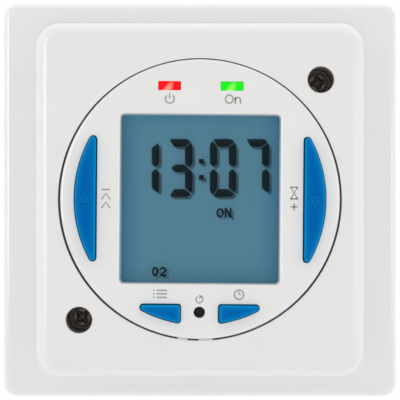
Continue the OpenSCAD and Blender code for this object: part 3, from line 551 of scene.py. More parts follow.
def cloudy(colour, vary):
    """Ramp stops for a colour that varies a little over noise."""
    return [(CLOUD_LOW, shade(colour, 1 - vary)), (CLOUD_HIGH, shade(colour, 1 + vary))]


CLOUD_SCALE = 90
GRAIN_SCALE = 2600
GRAIN_STRENGTH = 0.25
ROUGH_SPREAD = 0.15


def moulded(name, colour, rough, grain=GRAIN_SCALE, depth=0.00001, vary=0.03, specular=0.5,
            metal=0.0, ior=1.5):
    """Moulded, cast or drawn material: faint cloudy colour, uneven gloss and a fine grain."""
    finish = new_finish(name)
    cloud = finish.noise(CLOUD_SCALE, detail=3)
    fine = finish.noise(grain)
    finish.look({
        "Base Color": finish.ramp(cloud, cloudy(colour, vary)),
        "Roughness": finish.remap(fine, rough * (1 - ROUGH_SPREAD), rough * (1 + ROUGH_SPREAD)),
        "Normal": finish.bump(fine, GRAIN_STRENGTH, depth),
        "Specular IOR Level": specular,
        "IOR": ior,
        "Metallic": metal,
    })
    return finish.material


# Key blue; the paler edge and rim tones are a painted highlight along the keys' rounded edges
BLUE = (0.0005, 0.125, 0.425)
BLUE_RIM = (0.0006, 0.17, 0.485)
BLUE_EDGE_HIGHLIGHT = (0.0008, 0.27, 0.62)
BLUE_RIM_PLACE = 0.06
BLUE_HIGHLIGHT_REACH = 1.6


def key_plastic(name):
    """Blue plastic of the buttons: deeper in mid-face, with a painted highlight that makes it paler
    towards its edges.
    """
    finish = Finish(moulded(name, BLUE, rough=0.36, specular=0.01))
    depth = finish.add("Attribute", {})
    depth.attribute_name = "depth"
    inward = finish.remap(depth.outputs["Fac"], 0, 1, high=BLUE_HIGHLIGHT_REACH, smooth=True)
    stops = [(0, BLUE_EDGE_HIGHLIGHT), (BLUE_RIM_PLACE, BLUE_RIM), (1, BLUE)]
    finish.look({"Base Color": finish.ramp(inward, stops)})
    return finish.material


SMEAR_SCALE = 60
PANE_ROUGH = (0.06, 0.12)
PANE_IOR = 1.2


def clear_glass(name):
    """Thin clear pane: see-through, with a weak reflection that grows at a slant."""
    finish = new_finish(name)
    finish.nodes.remove(finish.shader)
    rough = finish.remap(finish.noise(SMEAR_SCALE, detail=4), *PANE_ROUGH)
    through = finish.add("BsdfTransparent", {})
    gloss = finish.add("BsdfGlossy", {"Roughness": rough})
    slant = finish.add("Fresnel", {"IOR": PANE_IOR})
    finish.surface(finish.mix(slant.outputs["Fac"], through.outputs["BSDF"], gloss.outputs["BSDF"]))
    return finish.material


SPECKLE_SCALE = 1500
FILM_VARY = 0.04


def tinted_film(name, tint):
    """A film that lets part of the light behind it through: the switched liquid crystal, and the
    painted shadow of its segments.
    """
    finish = new_finish(name)
    finish.nodes.remove(finish.shader)
    tone = finish.ramp(finish.noise(SPECKLE_SCALE), cloudy(tint, FILM_VARY))
    finish.surface(finish.add("BsdfTransparent", {"Color": tone}).outputs["BSDF"])
    return finish.material


# Display: how far its even middle reaches before the painted shade towards its sides, and the paler
# lines along its left and its top
DISPLAY_CALM = 11.5
DISPLAY_CALM_Y = 11
DISPLAY_FADE_Y = 0.4
DISPLAY_MIDDLE = (0.066, 0.191, 0.267)
DISPLAY_EDGE_SHADE = (0.037, 0.162, 0.257)
DISPLAY_GLOW = 0.45
DISPLAY_ROUGH = (0.5, 0.65)
DISPLAY_LIT = (0.13, 0.27, 0.37)
DISPLAY_LIT_X = 17.02
DISPLAY_LIT_Y = 18.26
DISPLAY_LIT_RISE = 1.008


def lit_border(finish, along, start, colour):
    """A paler line on a colour, from a place along one direction outwards."""
    blend = finish.add("Mix", {})
    blend.data_type = "RGBA"
    share = finish.remap(along, 0, 1, low=start * MM, high=start * DISPLAY_LIT_RISE * MM)
    finish.feed(blend.inputs["Factor"], share)
    finish.feed(blend.inputs["A"], colour)
    finish.feed(blend.inputs["B"], (*DISPLAY_LIT, 1))
    return blend.outputs["Result"]


def edge_fade(finish, place, calm, edge, most):
    """Rises from 0 in the calm middle to most at the edge, either way along one direction."""
    away = finish.math("ABSOLUTE", place)
    return finish.remap(away, 0, most, low=calm * MM, high=edge * MM, smooth=True)


def display_back(name):
    """Edge-lit diffuser behind the liquid crystal; its deeper blue towards its sides, top and bottom is
    painted shade from the window's walls.
    """
    finish = new_finish(name)
    axes = finish.axes(finish.place())
    across = edge_fade(finish, axes["X"], DISPLAY_CALM, WINDOW_W / 2, 1)
    along = edge_fade(finish, axes["Z"], DISPLAY_CALM_Y, WINDOW_H / 2, DISPLAY_FADE_Y)
    # Painted shade: deeper blue towards the window's walls
    fade = finish.math("MAXIMUM", across, along)
    tint = finish.ramp(fade, [(0, DISPLAY_MIDDLE), (1, DISPLAY_EDGE_SHADE)])
    tint = lit_border(finish, axes["X"], -DISPLAY_LIT_X, tint)
    tint = lit_border(finish, axes["Z"], DISPLAY_LIT_Y, tint)
    finish.look({
        "Base Color": tint,
        "Emission Color": tint,
        "Emission Strength": DISPLAY_GLOW,
        "Roughness": finish.remap(finish.noise(SPECKLE_SCALE), *DISPLAY_ROUGH),
        "Specular IOR Level": 0.1,
    })
    return finish.material


# Streak of light in the indicator lights: a painted highlight
STREAK_SLANT = 0.55
STREAK_REACH = 1.5
STREAK_FADE = 0.7
LENS_GRAIN = 1800
LENS_ROUGH = (0.18, 0.28)


def lit_lens(name, colour, streak_highlight, glow, centre_x):
    """Tinted lens of a lit lamp; the paler slanted streak over its chip that fades upwards is a painted
    highlight, glowing with the lens.
    """
    finish = new_finish(name)
    x, y, _ = on_fascia(centre_x, LED_Y)
    place = finish.place()
    slant = finish.add("VectorMath", {0: place, 1: (1, 0, -STREAK_SLANT)})
    slant.operation = "DOT_PRODUCT"
    offset = finish.math("SUBTRACT", slant.outputs["Value"], (x - STREAK_SLANT * y) * MM)
    away = finish.math("ABSOLUTE", offset)
    aside = finish.remap(away, 0, 1, high=STREAK_REACH * MM, smooth=True)
    low, top = (y - LED_H / 2) * MM, (y + LED_H / 2) * MM
    upward = finish.remap(finish.axes(place)["Z"], 0, STREAK_FADE, low=low, high=top)
    tint = finish.ramp(finish.math("ADD", aside, upward), [(0, streak_highlight), (1, colour)])
    finish.look({
        "Base Color": tint,
        "Emission Color": tint,
        "Emission Strength": glow,
        "Roughness": finish.remap(finish.noise(LENS_GRAIN), *LENS_ROUGH),
        "Specular IOR Level": 0.05,
    })
    return finish.material


WIRE_BANDS = 1200
WIRE_RIDGE = 0.00008
WIRE_GROOVE_SHADE = 0.6


def wound(name, colour):
    """Enamelled wire wound close, seen as fine bands along the coil."""
    finish = new_finish(name)
    bands = finish.add("TexWave", {"Vector": finish.place(), "Scale": WIRE_BANDS})
    bands.bands_direction = "Y"
    ridges = bands.outputs["Fac"]
    finish.look({
        "Base Color": finish.ramp(ridges, [(0, shade(colour, WIRE_GROOVE_SHADE)), (1, colour)]),
        "Normal": finish.bump(ridges, strength=0.6, distance=WIRE_RIDGE),
        "Metallic": 0.6,
        "Roughness": 0.35,
    })
    return finish.material


WHITE = (0.83, 0.822, 0.812)
FINE_SKIN = 0.00002

FINISHES = {
    "white_plastic": moulded("white_plastic", WHITE, 0.3, vary=0.006, specular=0.75),
    "blue_plastic": key_plastic("blue_plastic"),
    "black_plastic": moulded("black_plastic", (0.035, 0.03, 0.029), 0.45, depth=0.00003, vary=0.12,
                             specular=0.35),
    "grey_plastic": moulded("grey_plastic", (0.17, 0.175, 0.18), 0.45, depth=FINE_SKIN, vary=0.05),
    "ivory_plastic": moulded("ivory_plastic", (0.72, 0.66, 0.52), 0.45, vary=0.04),
    "relay_plastic": moulded("relay_plastic", (0.03, 0.09, 0.32), 0.3, vary=0.06),
    "display_glass": clear_glass("display_glass"),
    "diffuser": display_back("diffuser"),
    # Lens colours, then the paler colours of their painted highlight streaks
    "red_lens": lit_lens("red_lens", (0.9, 0.004, 0.006), (0.95, 0.31, 0.23), 0.4, -LED_X),
    "green_lens": lit_lens("green_lens", (0.006, 0.74, 0.008), (0.33, 0.93, 0.13), 0.33, LED_X),
    # Pale, whatever its slot is called: painted light, which lifts the shaded gasket edge into a light
    # line beside the display
    "black_foam": moulded("black_foam", (0.62, 0.6, 0.59), 0.9, grain=4000, depth=0.0001, vary=0.2),
    "contact_rubber": moulded("contact_rubber", (0.5, 0.25, 0.24), 0.7, vary=0.08),
    "board": moulded("board", (0.012, 0.1, 0.035), 0.4, grain=3000, depth=FINE_SKIN, vary=0.1),
    "chip": moulded("chip", (0.012, 0.012, 0.013), 0.55, depth=FINE_SKIN, vary=0.1),
    "steel": moulded("steel", (0.58, 0.58, 0.57), 0.3, vary=0.05, metal=1.0),
    "black_screw": moulded("black_screw", (0.17, 0.135, 0.115), 0.36, depth=FINE_SKIN, vary=0.15,
                           metal=0.35),
    "brass": moulded("brass", (0.72, 0.5, 0.2), 0.3, vary=0.06, metal=1.0),
    "core_iron": moulded("core_iron", (0.42, 0.42, 0.43), 0.38, vary=0.06, metal=1.0),
    "copper_wire": wound("copper_wire", (0.6, 0.22, 0.08)),
    "film_case": moulded("film_case", (0.6, 0.4, 0.06), 0.35, vary=0.05),
    "can": moulded("can", (0.012, 0.016, 0.05), 0.3, vary=0.08),
}
WELL_FINISH = moulded("well_plastic", (0.24, 0.21, 0.2), 0.4, depth=FINE_SKIN, vary=0.1, specular=0.3)
GLOSS_FINISH = moulded("gloss_white", WHITE, 0.14, vary=0.006, specular=0.8, ior=1.6)
PIN_FINISH = moulded("pin_plastic", (0.013, 0.012, 0.013), 0.6, depth=FINE_SKIN, vary=0.1, specular=0.2)

for part in frame["record"]["subparts"]:
    node = frame["nodes"][part["node"]]
    node.data.materials.clear()
    node.data.materials.append(FINISHES[part["material_slot"]])
frame["nodes"]["reset_pin"].data.materials[0] = PIN_FINISH
frame["nodes"]["back_plate"].data.materials[0] = GLOSS_FINISH


# Pieces of the face

def hole_profile(base, top, r, draft=0.0):
    """Profile of a hole's wall with a rounded mouth; draft narrows its inner end."""
    mouth = rounded_top(base, top, r, steps=MOUTH_STEPS)[1:]
    slope = math.degrees(math.atan2(draft, top - r - base))
    return [(-draft, base, slope)] + mouth


def opening_outline():
    """The cover's round opening, a hair wider than high: flatter arcs at its left and right."""
    x, y = OPENING_XY
    turn = OPENING_SIDE_ANGLE
    shift = OPENING_STRETCH / (1 - math.cos(math.radians(turn)))
    side_r = OPENING_R + OPENING_STRETCH - shift
    return [
        (x + shift, y, side_r, -turn, turn),
        (x, y, OPENING_R, turn, 180 - turn),
        (x - shift, y, side_r, 180 - turn, 180 + turn),
        (x, y, OPENING_R, 180 + turn, 360 - turn),
    ]


def front_cover():
    """Raised cover with rounded edges, its round opening and the two screw holes."""
    shell = Shell()
    inner_z = COVER_Z - COVER_TOP_T
    rim = rounded_rect(0, COVER_LIFT, COVER_W, COVER_H, COVER_CORNER_R)
    seam_z = PLATE_Z + COVER_SEAM
    shell.loft(rim, [(COVER_SEAM, PLATE_Z, -CHAMFERED), (0, seam_z, -CHAMFERED)])
    edge = shell.loft(rim, rounded_top(seam_z, COVER_Z, COVER_EDGE_R, steps=COVER_EDGE_STEPS))
    shell.loft(rim, ledge(COVER_SEAM, COVER_WALL, PLATE_Z, WALLWARDS))
    shell.loft(rim, upright(COVER_WALL, PLATE_Z, inner_z, INWARDS))
    inner_edge = shell.ring(rim, COVER_WALL, inner_z, WALLWARDS)
    holes = [opening_outline()] + [circle(*xy, SCREW_HOLE_R) for xy in SCREWS]
    mouth = hole_profile(inner_z, COVER_Z, HOLE_EDGE_R)
    shell.fill([edge] + [shell.loft(h, mouth, -1) for h in holes])
    shell.fill([inner_edge] + [shell.ring(h, *down(inner_z), -1) for h in holes])
    for span in RIB_SPANS:
        locating_rib(shell, span, inner_z, COVER_Z - RIB_DROP)
    finish = FINISHES["white_plastic"]
    shell.build("cover_shell", finish, "white_plastic", replaced=("front_cover",))


def rib_row(r, first, last, z):
    """Points along an arc round the disc, with normals towards its middle."""
    row = []
    for k in range(RIB_STEPS + 1):
        a = math.radians(first + (last - first) * k / RIB_STEPS)
        c, s = math.cos(a), math.sin(a)
        row.append((r * c, FACE_Y + r * s, z, (-c, -s, 0)))
    return row


def locating_rib(shell, span, low, high):
    """Short rib on the round opening's edge that centres the disc; angles are from straight down."""
    straight_down, steps = 270, RIB_STEPS
    first, last = (straight_down + a for a in span)
    near, far = DISC_R + RIB_GAP, OPENING_R + HOLE_EDGE_R + RIB_LAP
    rows = [rib_row(near, first, last, z) + rib_row(far, first, last, z) for z in (low, high)]
    wall = [[shell.point(*p) for p in row[: steps + 1]] for row in rows]
    roof = [shell.point(x, y, z, (0, 0, 1)) for x, y, z, _ in rows[1]]
    for k in range(steps):
        shell.face((wall[0][k], wall[0][k + 1], wall[1][k + 1], wall[1][k]))
        shell.face((roof[k], roof[k + 1], roof[steps + 2 + k], roof[steps + 1 + k]))
    for k, sign in ((0, -1), (steps, 1)):
        a = math.radians(first if k == 0 else last)
        normal = (-sign * math.sin(a), sign * math.cos(a), 0)
        ends = [rows[0][k], rows[0][steps + 1 + k], rows[1][steps + 1 + k], rows[1][k]]
        shell.face([shell.point(x, y, z, normal) for x, y, z, _ in ends])


SIDE = side_button_outline()
LOWER = lower_button_outline()
BUTTONS = {
    "advance_button": mirrored(SIDE),
    "boost_button": SIDE,
    "program_button": moved(mirrored(LOWER), LOWER_SHIFT),
    "clock_button": moved(LOWER, LOWER_SHIFT),
}
LEDS = {"power_led": (-LED_X, LED_Y), "on_led": (LED_X, LED_Y)}


def grown(arcs, g):
    """The same outline with its edge moved outwards."""
    return [(x, y, r + g, first, last) for x, y, r, first, last in arcs]


def led_outline(xy):
    return rounded_rect(*xy, LED_W, LED_H, LED_CORNER_R)


def fascia_disc():
    """Round disc with a skirt, its window and the holes for the buttons and the lights."""
    shell = Shell(fascia=True)
    low = DISC_Z - SKIRT_DROP
    inner_z = DISC_Z - DISC_T
    rim = circle(0, 0, DISC_R)
    edge = shell.loft(rim, rounded_top(low, DISC_Z, DISC_EDGE_R))
    shell.loft(rim, ledge(0, SKIRT_T, low, WALLWARDS))
    shell.loft(rim, upright(SKIRT_T, low, inner_z, INWARDS))
    inner_edge = shell.ring(rim, SKIRT_T, inner_z, WALLWARDS)
    window = rounded_rect(0, 0, WINDOW_W, WINDOW_H, WINDOW_CORNER_R)
    holes = [(window, WINDOW_EDGE_R, WINDOW_DRAFT)]
    holes += [(arcs, BUTTON_HOLE_R, 0) for arcs in BUTTONS.values()]
    holes += [(grown(led_outline(xy), LED_GAP), LED_GAP, 0) for xy in LEDS.values()]
    holes.append((circle(*RESET_XY, RESET_HOLE_R), BUTTON_HOLE_R, 0))
    mouths = [shell.loft(arcs, hole_profile(inner_z, DISC_Z, r, draft), -1) for arcs, r, draft in holes]
    shell.fill([edge] + mouths)
    inner_mouths = [shell.ring(arcs, -draft, inner_z, WALLWARDS, -1) for arcs, _, draft in holes]
    shell.fill([inner_edge] + inner_mouths)
    shell.build("fascia_face", GLOSS_FINISH, "white_plastic", replaced=("fascia_disc",))


def crown_height(depth):
    """Rise of a button's pillowed top at a distance from its edge."""
    left = max(0.0, 1 - depth / CROWN_REACH)
    return BUTTON_CROWN * (1 - left * left)


def edge_distance(x, y, loop):
    return min(math.hypot(x - px, y - py) for px, py in loop)


def filled_out(loop):
    """The same loop with points added along its straight stretches."""
    dense = []
    for (ax, ay), (bx, by) in zip(loop, loop[1:] + loop[:1]):
        count = max(1, math.ceil(math.hypot(bx - ax, by - ay) / CROWN_EDGE_STEP))
        dense += [(ax + (bx - ax) * k / count, ay + (by - ay) * k / count) for k in range(count)]
    return dense


def staggered_grid(loop):
    """Points in staggered rows inside a loop, clear of its edge."""
    xs, ys = zip(*loop)
    rows = int((max(ys) - min(ys)) / CROWN_STEP)
    columns = int((max(xs) - min(xs)) / CROWN_STEP)
    points = []
    for j in range(1, rows + 1):
        for i in range(1, columns + 1):
            x = min(xs) + (i + 0.5 * (j % 2)) * CROWN_STEP
            y = min(ys) + j * CROWN_STEP
            if inside(x, y, loop) and edge_distance(x, y, loop) >= CROWN_MARGIN:
                points.append((x, y))
    return points


def crowned_cap(shell, arcs, edge, inset, z):
    """Pillowed top inside an edge ring that already lies at height z."""
    loop = filled_out([p[:2] for p in outline(arcs, -inset)])
    inner = []
    for x, y in staggered_grid(loop):
        depth = edge_distance(x, y, loop)
        height = crown_height(depth)
        slope_x = (crown_height(edge_distance(x + CROWN_PROBE, y, loop)) - height) / CROWN_PROBE
        slope_y = (crown_height(edge_distance(x, y + CROWN_PROBE, loop)) - height) / CROWN_PROBE
        inner.append(shell.point(x, y, z + height, (-slope_x, -slope_y, 1)))
        # The distance from the edge sets the key's painted highlight, paler near the edge
        shell.edge_highlight_depths[inner[-1]] = depth
    shell.fill([edge], inner)


def button(arcs, shift):
    """Crowned key with a flange under the disc; shift is its play sideways in the slot."""
    shell = Shell(fascia=True)
    low = DISC_Z - DISC_T - BUTTON_FLANGE_T
    flange_z = DISC_Z - DISC_T - FLANGE_GAP
    crown_tilt = OUTWARDS - math.degrees(math.atan(2 * BUTTON_CROWN / CROWN_REACH))
    top = DISC_Z + BUTTON_PROUD - BUTTON_CROWN
    profile = rounded_top(flange_z, top, BUTTON_EDGE_R, last=crown_tilt, steps=BUTTON_EDGE_STEPS)
    flange = grown(arcs, BUTTON_FLANGE)
    arcs = moved(grown(arcs, -BUTTON_GAP), shift)
    shell.loft(flange, upright(0, low, flange_z, SIDEWAYS))
    shell.loft(flange, ledge(0, BUTTON_FLANGE + BUTTON_GAP, flange_z, OUTWARDS))
    shell.fill([shell.ring(flange, *down(low))])
    edge = shell.loft(arcs, profile)
    inset, edge_z, _ = profile[-1]
    crowned_cap(shell, arcs, edge, inset, edge_z)
    return shell


def arrow(shell, x, y, up, z):
    """Raised triangle with bevelled sides; its base is level. Its edges and sides carry the painted
    highlight of the key plastic, palest along its edges.
    """
    corners = [(-ARROW_W / 2, -ARROW_H / 2), (ARROW_W / 2, -ARROW_H / 2), (0, ARROW_H / 2)]
    turn = 1 if up else -1
    middle_y = -ARROW_H / 6
    low = [(x + u * turn, y + v * turn, z - ARROW_RISE) for u, v in corners]
    high = []
    for u, v in corners:
        v = middle_y + (v - middle_y) * ARROW_TOP_SHARE
        high.append((x + u * turn * ARROW_TOP_SHARE, y + v * turn, z + ARROW_RISE))
    top = [shell.point(*p, (0, 0, 1)) for p in high]
    shell.edge_highlight_depths.update((i, ARROW_RIM_DEPTH) for i in top)
    middle = shell.point(x, y + middle_y * turn, z + ARROW_RISE, (0, 0, 1))
    shell.edge_highlight_depths[middle] = ARROW_MIDDLE_DEPTH
    for k in range(3):
        shell.face((top[k], top[(k + 1) % 3], middle))
    for k in range(3):
        a, b, c, d = (Vector(p) for p in (low[k], low[(k + 1) % 3], high[(k + 1) % 3], high[k]))
        normal = (b - a).cross(d - a).normalized()
        side = [shell.point(*p, tuple(normal)) for p in (a, b, c, d)]
        shell.edge_highlight_depths.update((i, ARROW_RIM_DEPTH) for i in side)
        shell.face(side)


def buttons():
    """The four keys; those at the sides carry arrows."""
    finish = FINISHES["blue_plastic"]
    for name, arcs in BUTTONS.items():
        shell = button(arcs, BUTTON_SHIFTS.get(name, 0))
        if name in ARROW_YS:
            side = 1 if name == "boost_button" else -1
            arrow(shell, side * ARROW_X, ARROW_YS[name], side < 0, DISC_Z + BUTTON_PROUD)
        shell.build(name.replace("button", "key"), finish, "blue_plastic", name, (name,))


def indicator_lights():
    """The two coloured lenses above the display."""
    for name, slot in (("power_led", "red_lens"), ("on_led", "green_lens")):
        shell = Shell(fascia=True)
        arcs = led_outline(LEDS[name])
        base = DISC_Z - DISC_T
        profile = rounded_top(base, DISC_Z, LED_EDGE_R, steps=LED_EDGE_STEPS)
        shell.fill([shell.loft(arcs, profile)])
        shell.fill([shell.ring(arcs, *down(base))])
        shell.build(name.replace("led", "lens"), FINISHES[slot], slot, replaced=(name,))


def face_screws():
    """Pan heads with a cross recess, on plain shanks."""
    shell = Shell()
    top, seat = HEAD_TOP_Z, HEAD_SEAT_Z
    tail = -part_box("module_screws")[1].y / MM
    for (x, y), turn in zip(SCREWS, SCREW_TURNS):
        head, shank = circle(x, y, HEAD_R), circle(x, y, SHANK_R)
        cross = cross_outline(x, y, turn)
        rim = shell.loft(head, rounded_top(seat, top, HEAD_EDGE_R))
        mouth = shell.ring(cross, CROSS_LIP, top, OUTWARDS, -1)
        shell.fill([rim, mouth])
        lip_z, floor_z = top - CROSS_LIP, top - CROSS_DEPTH
        shell.loft(cross, [(CROSS_LIP, top, CHAMFERED), (0, lip_z, CHAMFERED)], -1)
        shell.loft(cross, [(0, lip_z, CROSS_WALL_TILT), (-CROSS_TAPER, floor_z, CROSS_WALL_TILT)], -1)
        bottom = shell.point(x, y, top - CROSS_TIP_DEPTH, (0, 0, 1))
        shell.fill([shell.ring(cross, -CROSS_TAPER, floor_z, CROSS_FLOOR_TILT, -1)], [bottom])
        shell.fill([shell.ring(head, *down(seat)), shell.ring(shank, *down(seat))])
        shell.loft(shank, upright(0, tail, seat, SIDEWAYS))
        shell.fill([shell.ring(shank, *down(tail))])
    shell.build("cross_screws", FINISHES["black_screw"], "black_screw", replaced=("module_screws",))


def tube(shell, outer, inner, low, top):
    """Closed ring between two outlines."""
    wall = upright(0, low, top, SIDEWAYS)
    shell.loft(outer, wall)
    shell.loft(inner, wall, -1)
    for z, tilt in ((low, WALLWARDS), (top, OUTWARDS)):
        shell.fill([shell.ring(outer, 0, z, tilt), shell.ring(inner, 0, z, tilt, -1)])


def screw_wells():
    """Dark tubes that line the screw holes, each with a collar round the screw's head."""
    shell = Shell()
    for x, y in SCREWS:
        outer = circle(x, y, WELL_R + WELL_T)
        lining, collar = circle(x, y, WELL_R), circle(x, y, HEAD_R + COLLAR_GAP)
        tube(shell, outer, lining, HEAD_SEAT_Z, COVER_Z - WELL_DROP)
        tube(shell, outer, collar, HEAD_SEAT_Z, HEAD_TOP_Z - COLLAR_DROP)
    shell.build("screw_wells", WELL_FINISH, "black_plastic")


def slot_shade_sleeves():
    """Dark sleeves in the buttons' slots: painted shade that darkens the gaps round the keys."""
    shell = Shell(fascia=True)
    low, top = DISC_Z - DISC_T, DISC_Z - SHADE_SLEEVE_DROP
    for arcs in BUTTONS.values():
        tube(shell, grown(arcs, SHADE_SLEEVE_LAP), grown(arcs, -SHADE_SLEEVE_T), low, top)
    shell.build("slot_shade_sleeves", FINISHES["black_plastic"], "black_plastic")


def gap_shade_ring():
    """Dark ring at the bottom of the gap round the disc: painted shade in the gap."""
    shell = Shell()
    top = COVER_Z - SHADE_RING_DROP
    outer = grown(opening_outline(), SHADE_RING_LAP)
    inner = circle(0, FACE_Y, DISC_R + SHADE_RING_GAP)
    tube(shell, outer, inner, top - SHADE_RING_T, top)
    shell.build("gap_shade_ring", FINISHES["black_plastic"], "black_plastic")


front_cover()
fascia_disc()
gap_shade_ring()
slot_shade_sleeves()
screw_wells()
buttons()
indicator_lights()
face_screws()


# Display figures and printed signs, as thin plates

PLATE_T = 0.02
LAYER_GAP = 0.02
SIGN_STROKE = 0.33
FINE_STROKE = 0.9 * SIGN_STROKE
ARC_COUNT = 24
HALF_OVAL_COUNT = 16


def plate(shell, loop, z):
    """Thin flat plate inside a loop of points."""
    top_z = z + PLATE_T
    top = [shell.point(x, y, top_z, (0, 0, 1)) for x, y in loop]
    low = [shell.point(x, y, z, (0, 0, -1)) for x, y in loop]
    shell.fill([top])
    shell.fill([low])
    for (ax, ay), (bx, by) in zip(loop, loop[1:] + loop[:1]):
        length = math.hypot(bx - ax, by - ay) or 1
        normal = ((by - ay) / length, (ax - bx) / length, 0)
        corners = [(ax, ay, z), (bx, by, z), (bx, by, top_z), (ax, ay, top_z)]
        shell.faces.append([shell.point(*p, normal) for p in corners])


def stroke(points, width=SIGN_STROKE):
    """Loop round a line of a given width with square ends."""
    left, right = [], []
    for k, (x, y) in enumerate(points):
        ax, ay = points[max(0, k - 1)]
        bx, by = points[min(len(points) - 1, k + 1)]
        length = math.hypot(bx - ax, by - ay)
        nx, ny = -(by - ay) / length, (bx - ax) / length
        left.append((x + nx * width / 2, y + ny * width / 2))
        right.append((x - nx * width / 2, y - ny * width / 2))
    return [right + left[::-1]]


def arc_points(x, y, rx, ry, first, last, count=ARC_COUNT):
    angles = [math.radians(first + (last - first) * k / count) for k in range(count + 1)]
    return [(x + rx * math.cos(a), y + ry * math.sin(a)) for a in angles]


def oval(x, y, rx, ry, width=SIGN_STROKE):
    """Closed line round an oval, as two half loops."""
    upper = arc_points(x, y, rx, ry, 0, 180, HALF_OVAL_COUNT)
    lower = arc_points(x, y, rx, ry, 180, 360, HALF_OVAL_COUNT)
    return stroke(upper, width) + stroke(lower, width)


def square(x, y, side):
    return [(x + u * side / 2, y + v * side / 2) for u, v in ((-1, -1), (1, -1), (1, 1), (-1, 1))]


# Seven-segment figures: the upper segments are drawn and the lower ones are their mirror images
DIGIT_H = 12.6
BAR = [(1.78, 10.86), (4.01, 10.86), (5.32, 11.87), (4.88, 12.41), (4.3, 12.6), (1.1, 12.6),
       (0.85, 12.3)]
POST = [(4.11, 10.69), (4.11, 7.23), (4.94, 6.49), (5.75, 7.23), (5.75, 11.09), (5.69, 11.19),
        (5.45, 11.65)]
LEFT_POST = [(0.72, 12.1), (0.63, 12.1), (0.13, 11.58), (0, 11.09), (0, 7.23), (0.81, 6.49),
             (1.63, 7.23), (1.63, 10.8)]
MIDDLE = [(1.1, 6.25), (1.93, 5.44), (4.07, 5.44), (4.88, 6.21), (4.07, 7.06), (1.88, 7.06)]


def flipped(loop):
    """The loop turned upside down within a figure's height."""
    return [(x, DIGIT_H - y) for x, y in loop][::-1]


SEGMENTS = {
    "a": BAR,
    "b": POST,
    "c": flipped(POST),
    "d": flipped(BAR),
    "e": flipped(LEFT_POST),
    "f": LEFT_POST,
    "g": MIDDLE,
}
LIT = {"0": "abcdef", "1": "bc", "3": "abgcd", "7": "abc"}
CLOCK = (("1", -14.61), ("3", -7.38), ("0", 2.11), ("7", 9.31))
CLOCK_Y = 0.65
COLON_X = 0.29
COLON_YS = (4.9, 8.38)
COLON_SIDE = 1.08
ON_XY = (5.25, -2.8)
WORD_H = 2.08
ON_STROKE = 0.43
GHOST_STROKE = 0.25
GHOST_SHIFT = (0.56, -0.52)
DAY_XY = (-8.85, -15.53)
SEGMENT = (0.375, 0.38, 0.375)
# Tint of the painted shadow that the segments throw on the diffuser
SHADOW = (0.78, 0.785, 0.79)


def on_word(x, y, weight):
    """The word ON in plain strokes."""
    round_x, round_r = x - 0.88, 0.62
    left, right = x + 0.3, x + 1.4
    low, top = y - WORD_H / 2, y + WORD_H / 2
    loops = oval(round_x, y, round_r, (WORD_H - ON_STROKE) / 2, weight)
    corners = [(left, low), (left, top), (right, low), (right, top)]
    for line in zip(corners, corners[1:]):
        loops += stroke(line, weight)
    return loops


def day_number(x, y, weight):
    """The number of the day, 02, in plain strokes."""
    half_pitch, bowl = 0.85, 0.52
    half_h = (WORD_H - ON_STROKE) / 2
    low, top = y - half_h, y + half_h
    left = x + half_pitch - bowl
    foot_from, foot_to = left - 0.1, left + 2 * bowl + 0.15
    curve = arc_points(x + half_pitch, top - bowl, bowl, bowl, first=170, last=-30, count=12)
    loops = oval(x - half_pitch, y, bowl, half_h, weight)
    loops += stroke(curve + [(left, low)], weight)
    return loops + stroke([(foot_from, low), (foot_to, low)], weight)


def display_loops(weight):
    """Outlines of all that the display shows; weight is the small signs' stroke."""
    loops = []
    for digit, x in CLOCK:
        loops += [[(x + u, CLOCK_Y + v) for u, v in SEGMENTS[s]] for s in LIT[digit]]
    loops += [square(COLON_X, y, COLON_SIDE) for y in COLON_YS]
    return loops + on_word(*ON_XY, weight) + day_number(*DAY_XY, weight)


def display_figures():
    """Dark segments on the liquid crystal layer and their painted shadow, a tinted film on the diffuser
    behind.
    """
    dark, ghost = Shell(), Shell()
    shift_x, shift_y = GHOST_SHIFT
    for loop in display_loops(ON_STROKE):
        plate(dark, loop, REAR_GLASS_Z + LAYER_GAP)
    for loop in display_loops(GHOST_STROKE):
        plate(ghost, [(x + shift_x, y + shift_y) for x, y in loop], BACKLIGHT_Z + LAYER_GAP)
    ink = tinted_film("segment_ink", SEGMENT)
    dim = tinted_film("segment_shadow", SHADOW)
    dark.build("display_segments", ink, "display_glass").visible_shadow = False
    ghost.build("display_shadows", dim, "diffuser").visible_shadow = False


BORDER_Y = 0.2
BORDER_OUTER = (37.6, 40)
BORDER_INNER = (36.4, 35.7)
BORDER_CORNER_R = 0.3


def display_border():
    """Border printed behind the front glass, which hides the ends of the diffuser; it glows with the
    diffuser's finish, painted light where those ends would show dark.
    """
    shell = Shell()
    outer = rounded_rect(0, BORDER_Y, *BORDER_OUTER, BORDER_CORNER_R)
    inner = rounded_rect(0, BORDER_Y, *BORDER_INNER, BORDER_CORNER_R)
    low = REAR_GLASS_Z + LAYER_GAP
    tube(shell, outer, inner, low, low + PLATE_T)
    shell.build("display_border", FINISHES["diffuser"], "diffuser").visible_shadow = False


PRINT = (0.36, 0.35, 0.33)


def power_sign(x, y):
    """A ring open at its top, with an upright stroke: mains power."""
    r, half_gap = 0.95, 40
    low, top = y + 0.05, y + r + 0.3
    loops = stroke(arc_points(x, y, r, r, 90 + half_gap, 450 - half_gap))
    return loops + stroke([(x, low), (x, top)])


def on_sign(x, y):
    """The word On, as on any switch."""
    half_h, round_x, round_r = 1.03, x - 0.75, 0.82
    arch_r, arch_h, arch_drop = 0.55, 0.58, 0.7
    left, foot, top = x + 0.55, y - half_h, y + 0.5
    arch = arc_points(left + arch_r, top - arch_drop, arch_r, arch_h, 180, 0)
    loops = oval(round_x, y, round_r, half_h - SIGN_STROKE / 2)
    loops += stroke([(left, foot), (left, top)])
    return loops + stroke(arch + [(left + 2 * arch_r, foot)])


